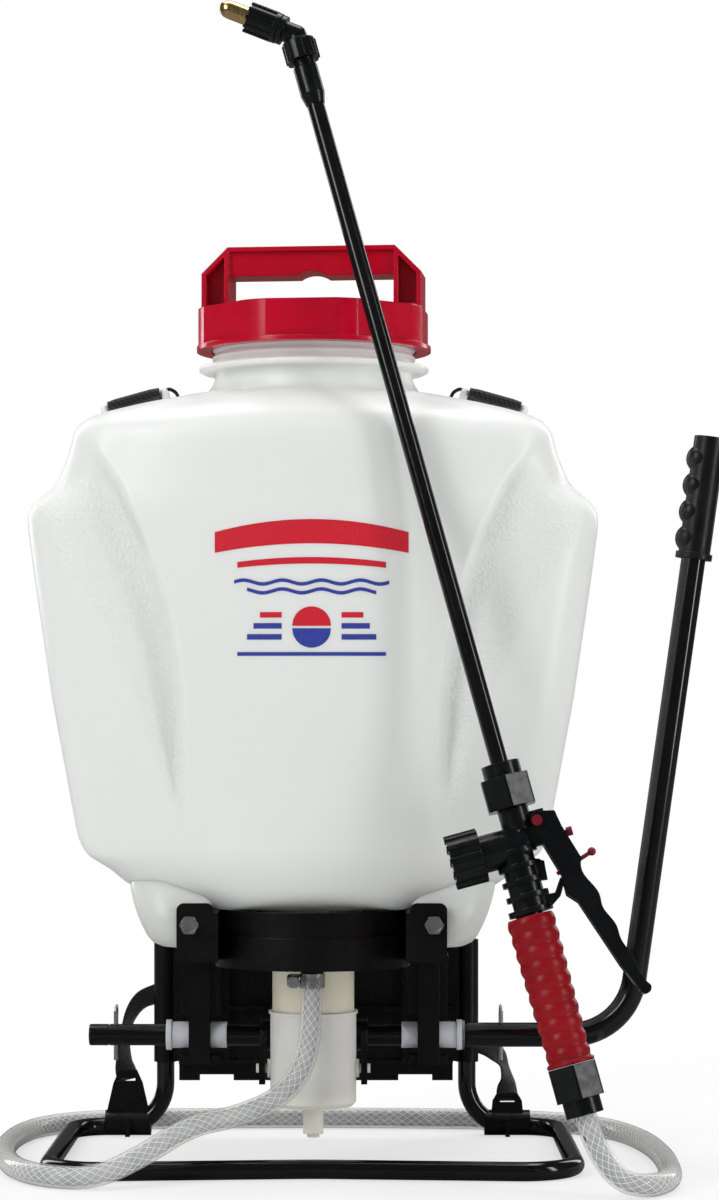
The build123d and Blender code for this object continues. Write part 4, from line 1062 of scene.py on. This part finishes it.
# away from the object the floor runs into the bright backdrop
spread = tree.nodes.new("ShaderNodeVectorMath")
spread.operation = "LENGTH"
tree.links.new(coordinates(tree), spread.inputs[0])
glow = tree.nodes.new("ShaderNodeEmission")
glow.inputs["Color"].default_value = (1, 1, 1, 1)
fade = tree.nodes.new("ShaderNodeMixShader")
amount = ramp(tree, math_node(tree, "DIVIDE", spread.outputs["Value"], FADE_DISTANCE), 0.62, 1.0, (0.15, 0.8))
tree.links.new(math_node(tree, "MULTIPLY", amount, path.outputs["Is Camera Ray"]), fade.inputs["Fac"])
tree.links.new(principled.outputs["BSDF"], fade.inputs[1])
tree.links.new(glow.outputs["Emission"], fade.inputs[2])
tree.links.new(fade.outputs["Shader"], tree.nodes["Material Output"].inputs["Surface"])
floor_corners = [(x * FLOOR_REACH, y * FLOOR_REACH, 0) for x, y in ((-1, -1), (1, -1), (1, 1), (-1, 1))]
floor = mesh_object("floor", floor_corners, [(0, 1, 2, 3)], smooth=False)
dress(floor, floor_mat)


def softbox(name, location, size, power):
    """A rectangular lamp that points at the middle of the object."""
    data = bpy.data.lights.new(name, "AREA")
    data.shape = "RECTANGLE"
    data.size, data.size_y = size
    data.energy = power
    lamp = collect(bpy.data.objects.new(name, data))
    lamp.location = location
    lamp.rotation_euler = (Vector(AIM) - Vector(location)).to_track_quat("-Z", "Y").to_euler()


softbox("key", (-1.5, -1.5, 1.5), (0.6, 1.6), 21)
softbox("fill", (1.9, -1.1, 0.8), (0.35, 1.8), 14.5)
softbox("top", (0, 0.3, 2.1), (1.6, 1.0), 22)
softbox("rear_left", (-1.4, 1.5, 1.0), (0.5, 1.6), 9)
softbox("rear_right", (1.4, 1.6, 1.2), (0.5, 1.6), 9)
bpy.context.scene.view_settings.view_transform = "Standard"
world = bpy.data.worlds.new("studio")
bpy.context.scene.world = world
world.use_nodes = True
tree = world.node_tree
background = tree.nodes["Background"]
background.inputs["Color"].default_value = (1, 1, 1, 1)
# the room lights the object softly and is dark in its gloss; the backdrop itself is bright
backdrop = tree.nodes.new("ShaderNodeBackground")
backdrop.inputs["Color"].default_value = (1, 1, 1, 1)
backdrop.inputs["Strength"].default_value = 1.0
seen = tree.nodes.new("ShaderNodeLightPath")
room = math_node(tree, "MULTIPLY_ADD", seen.outputs["Is Glossy Ray"], -ROOM_GLOSS_DIM)
room.node.inputs[2].default_value = ROOM_LIGHT
tree.links.new(room, background.inputs["Strength"])
mix = tree.nodes.new("ShaderNodeMixShader")
tree.links.new(seen.outputs["Is Camera Ray"], mix.inputs["Fac"])
tree.links.new(background.outputs["Background"], mix.inputs[1])
tree.links.new(backdrop.outputs["Background"], mix.inputs[2])
tree.links.new(mix.outputs["Shader"], tree.nodes["World Output"].inputs["Surface"])
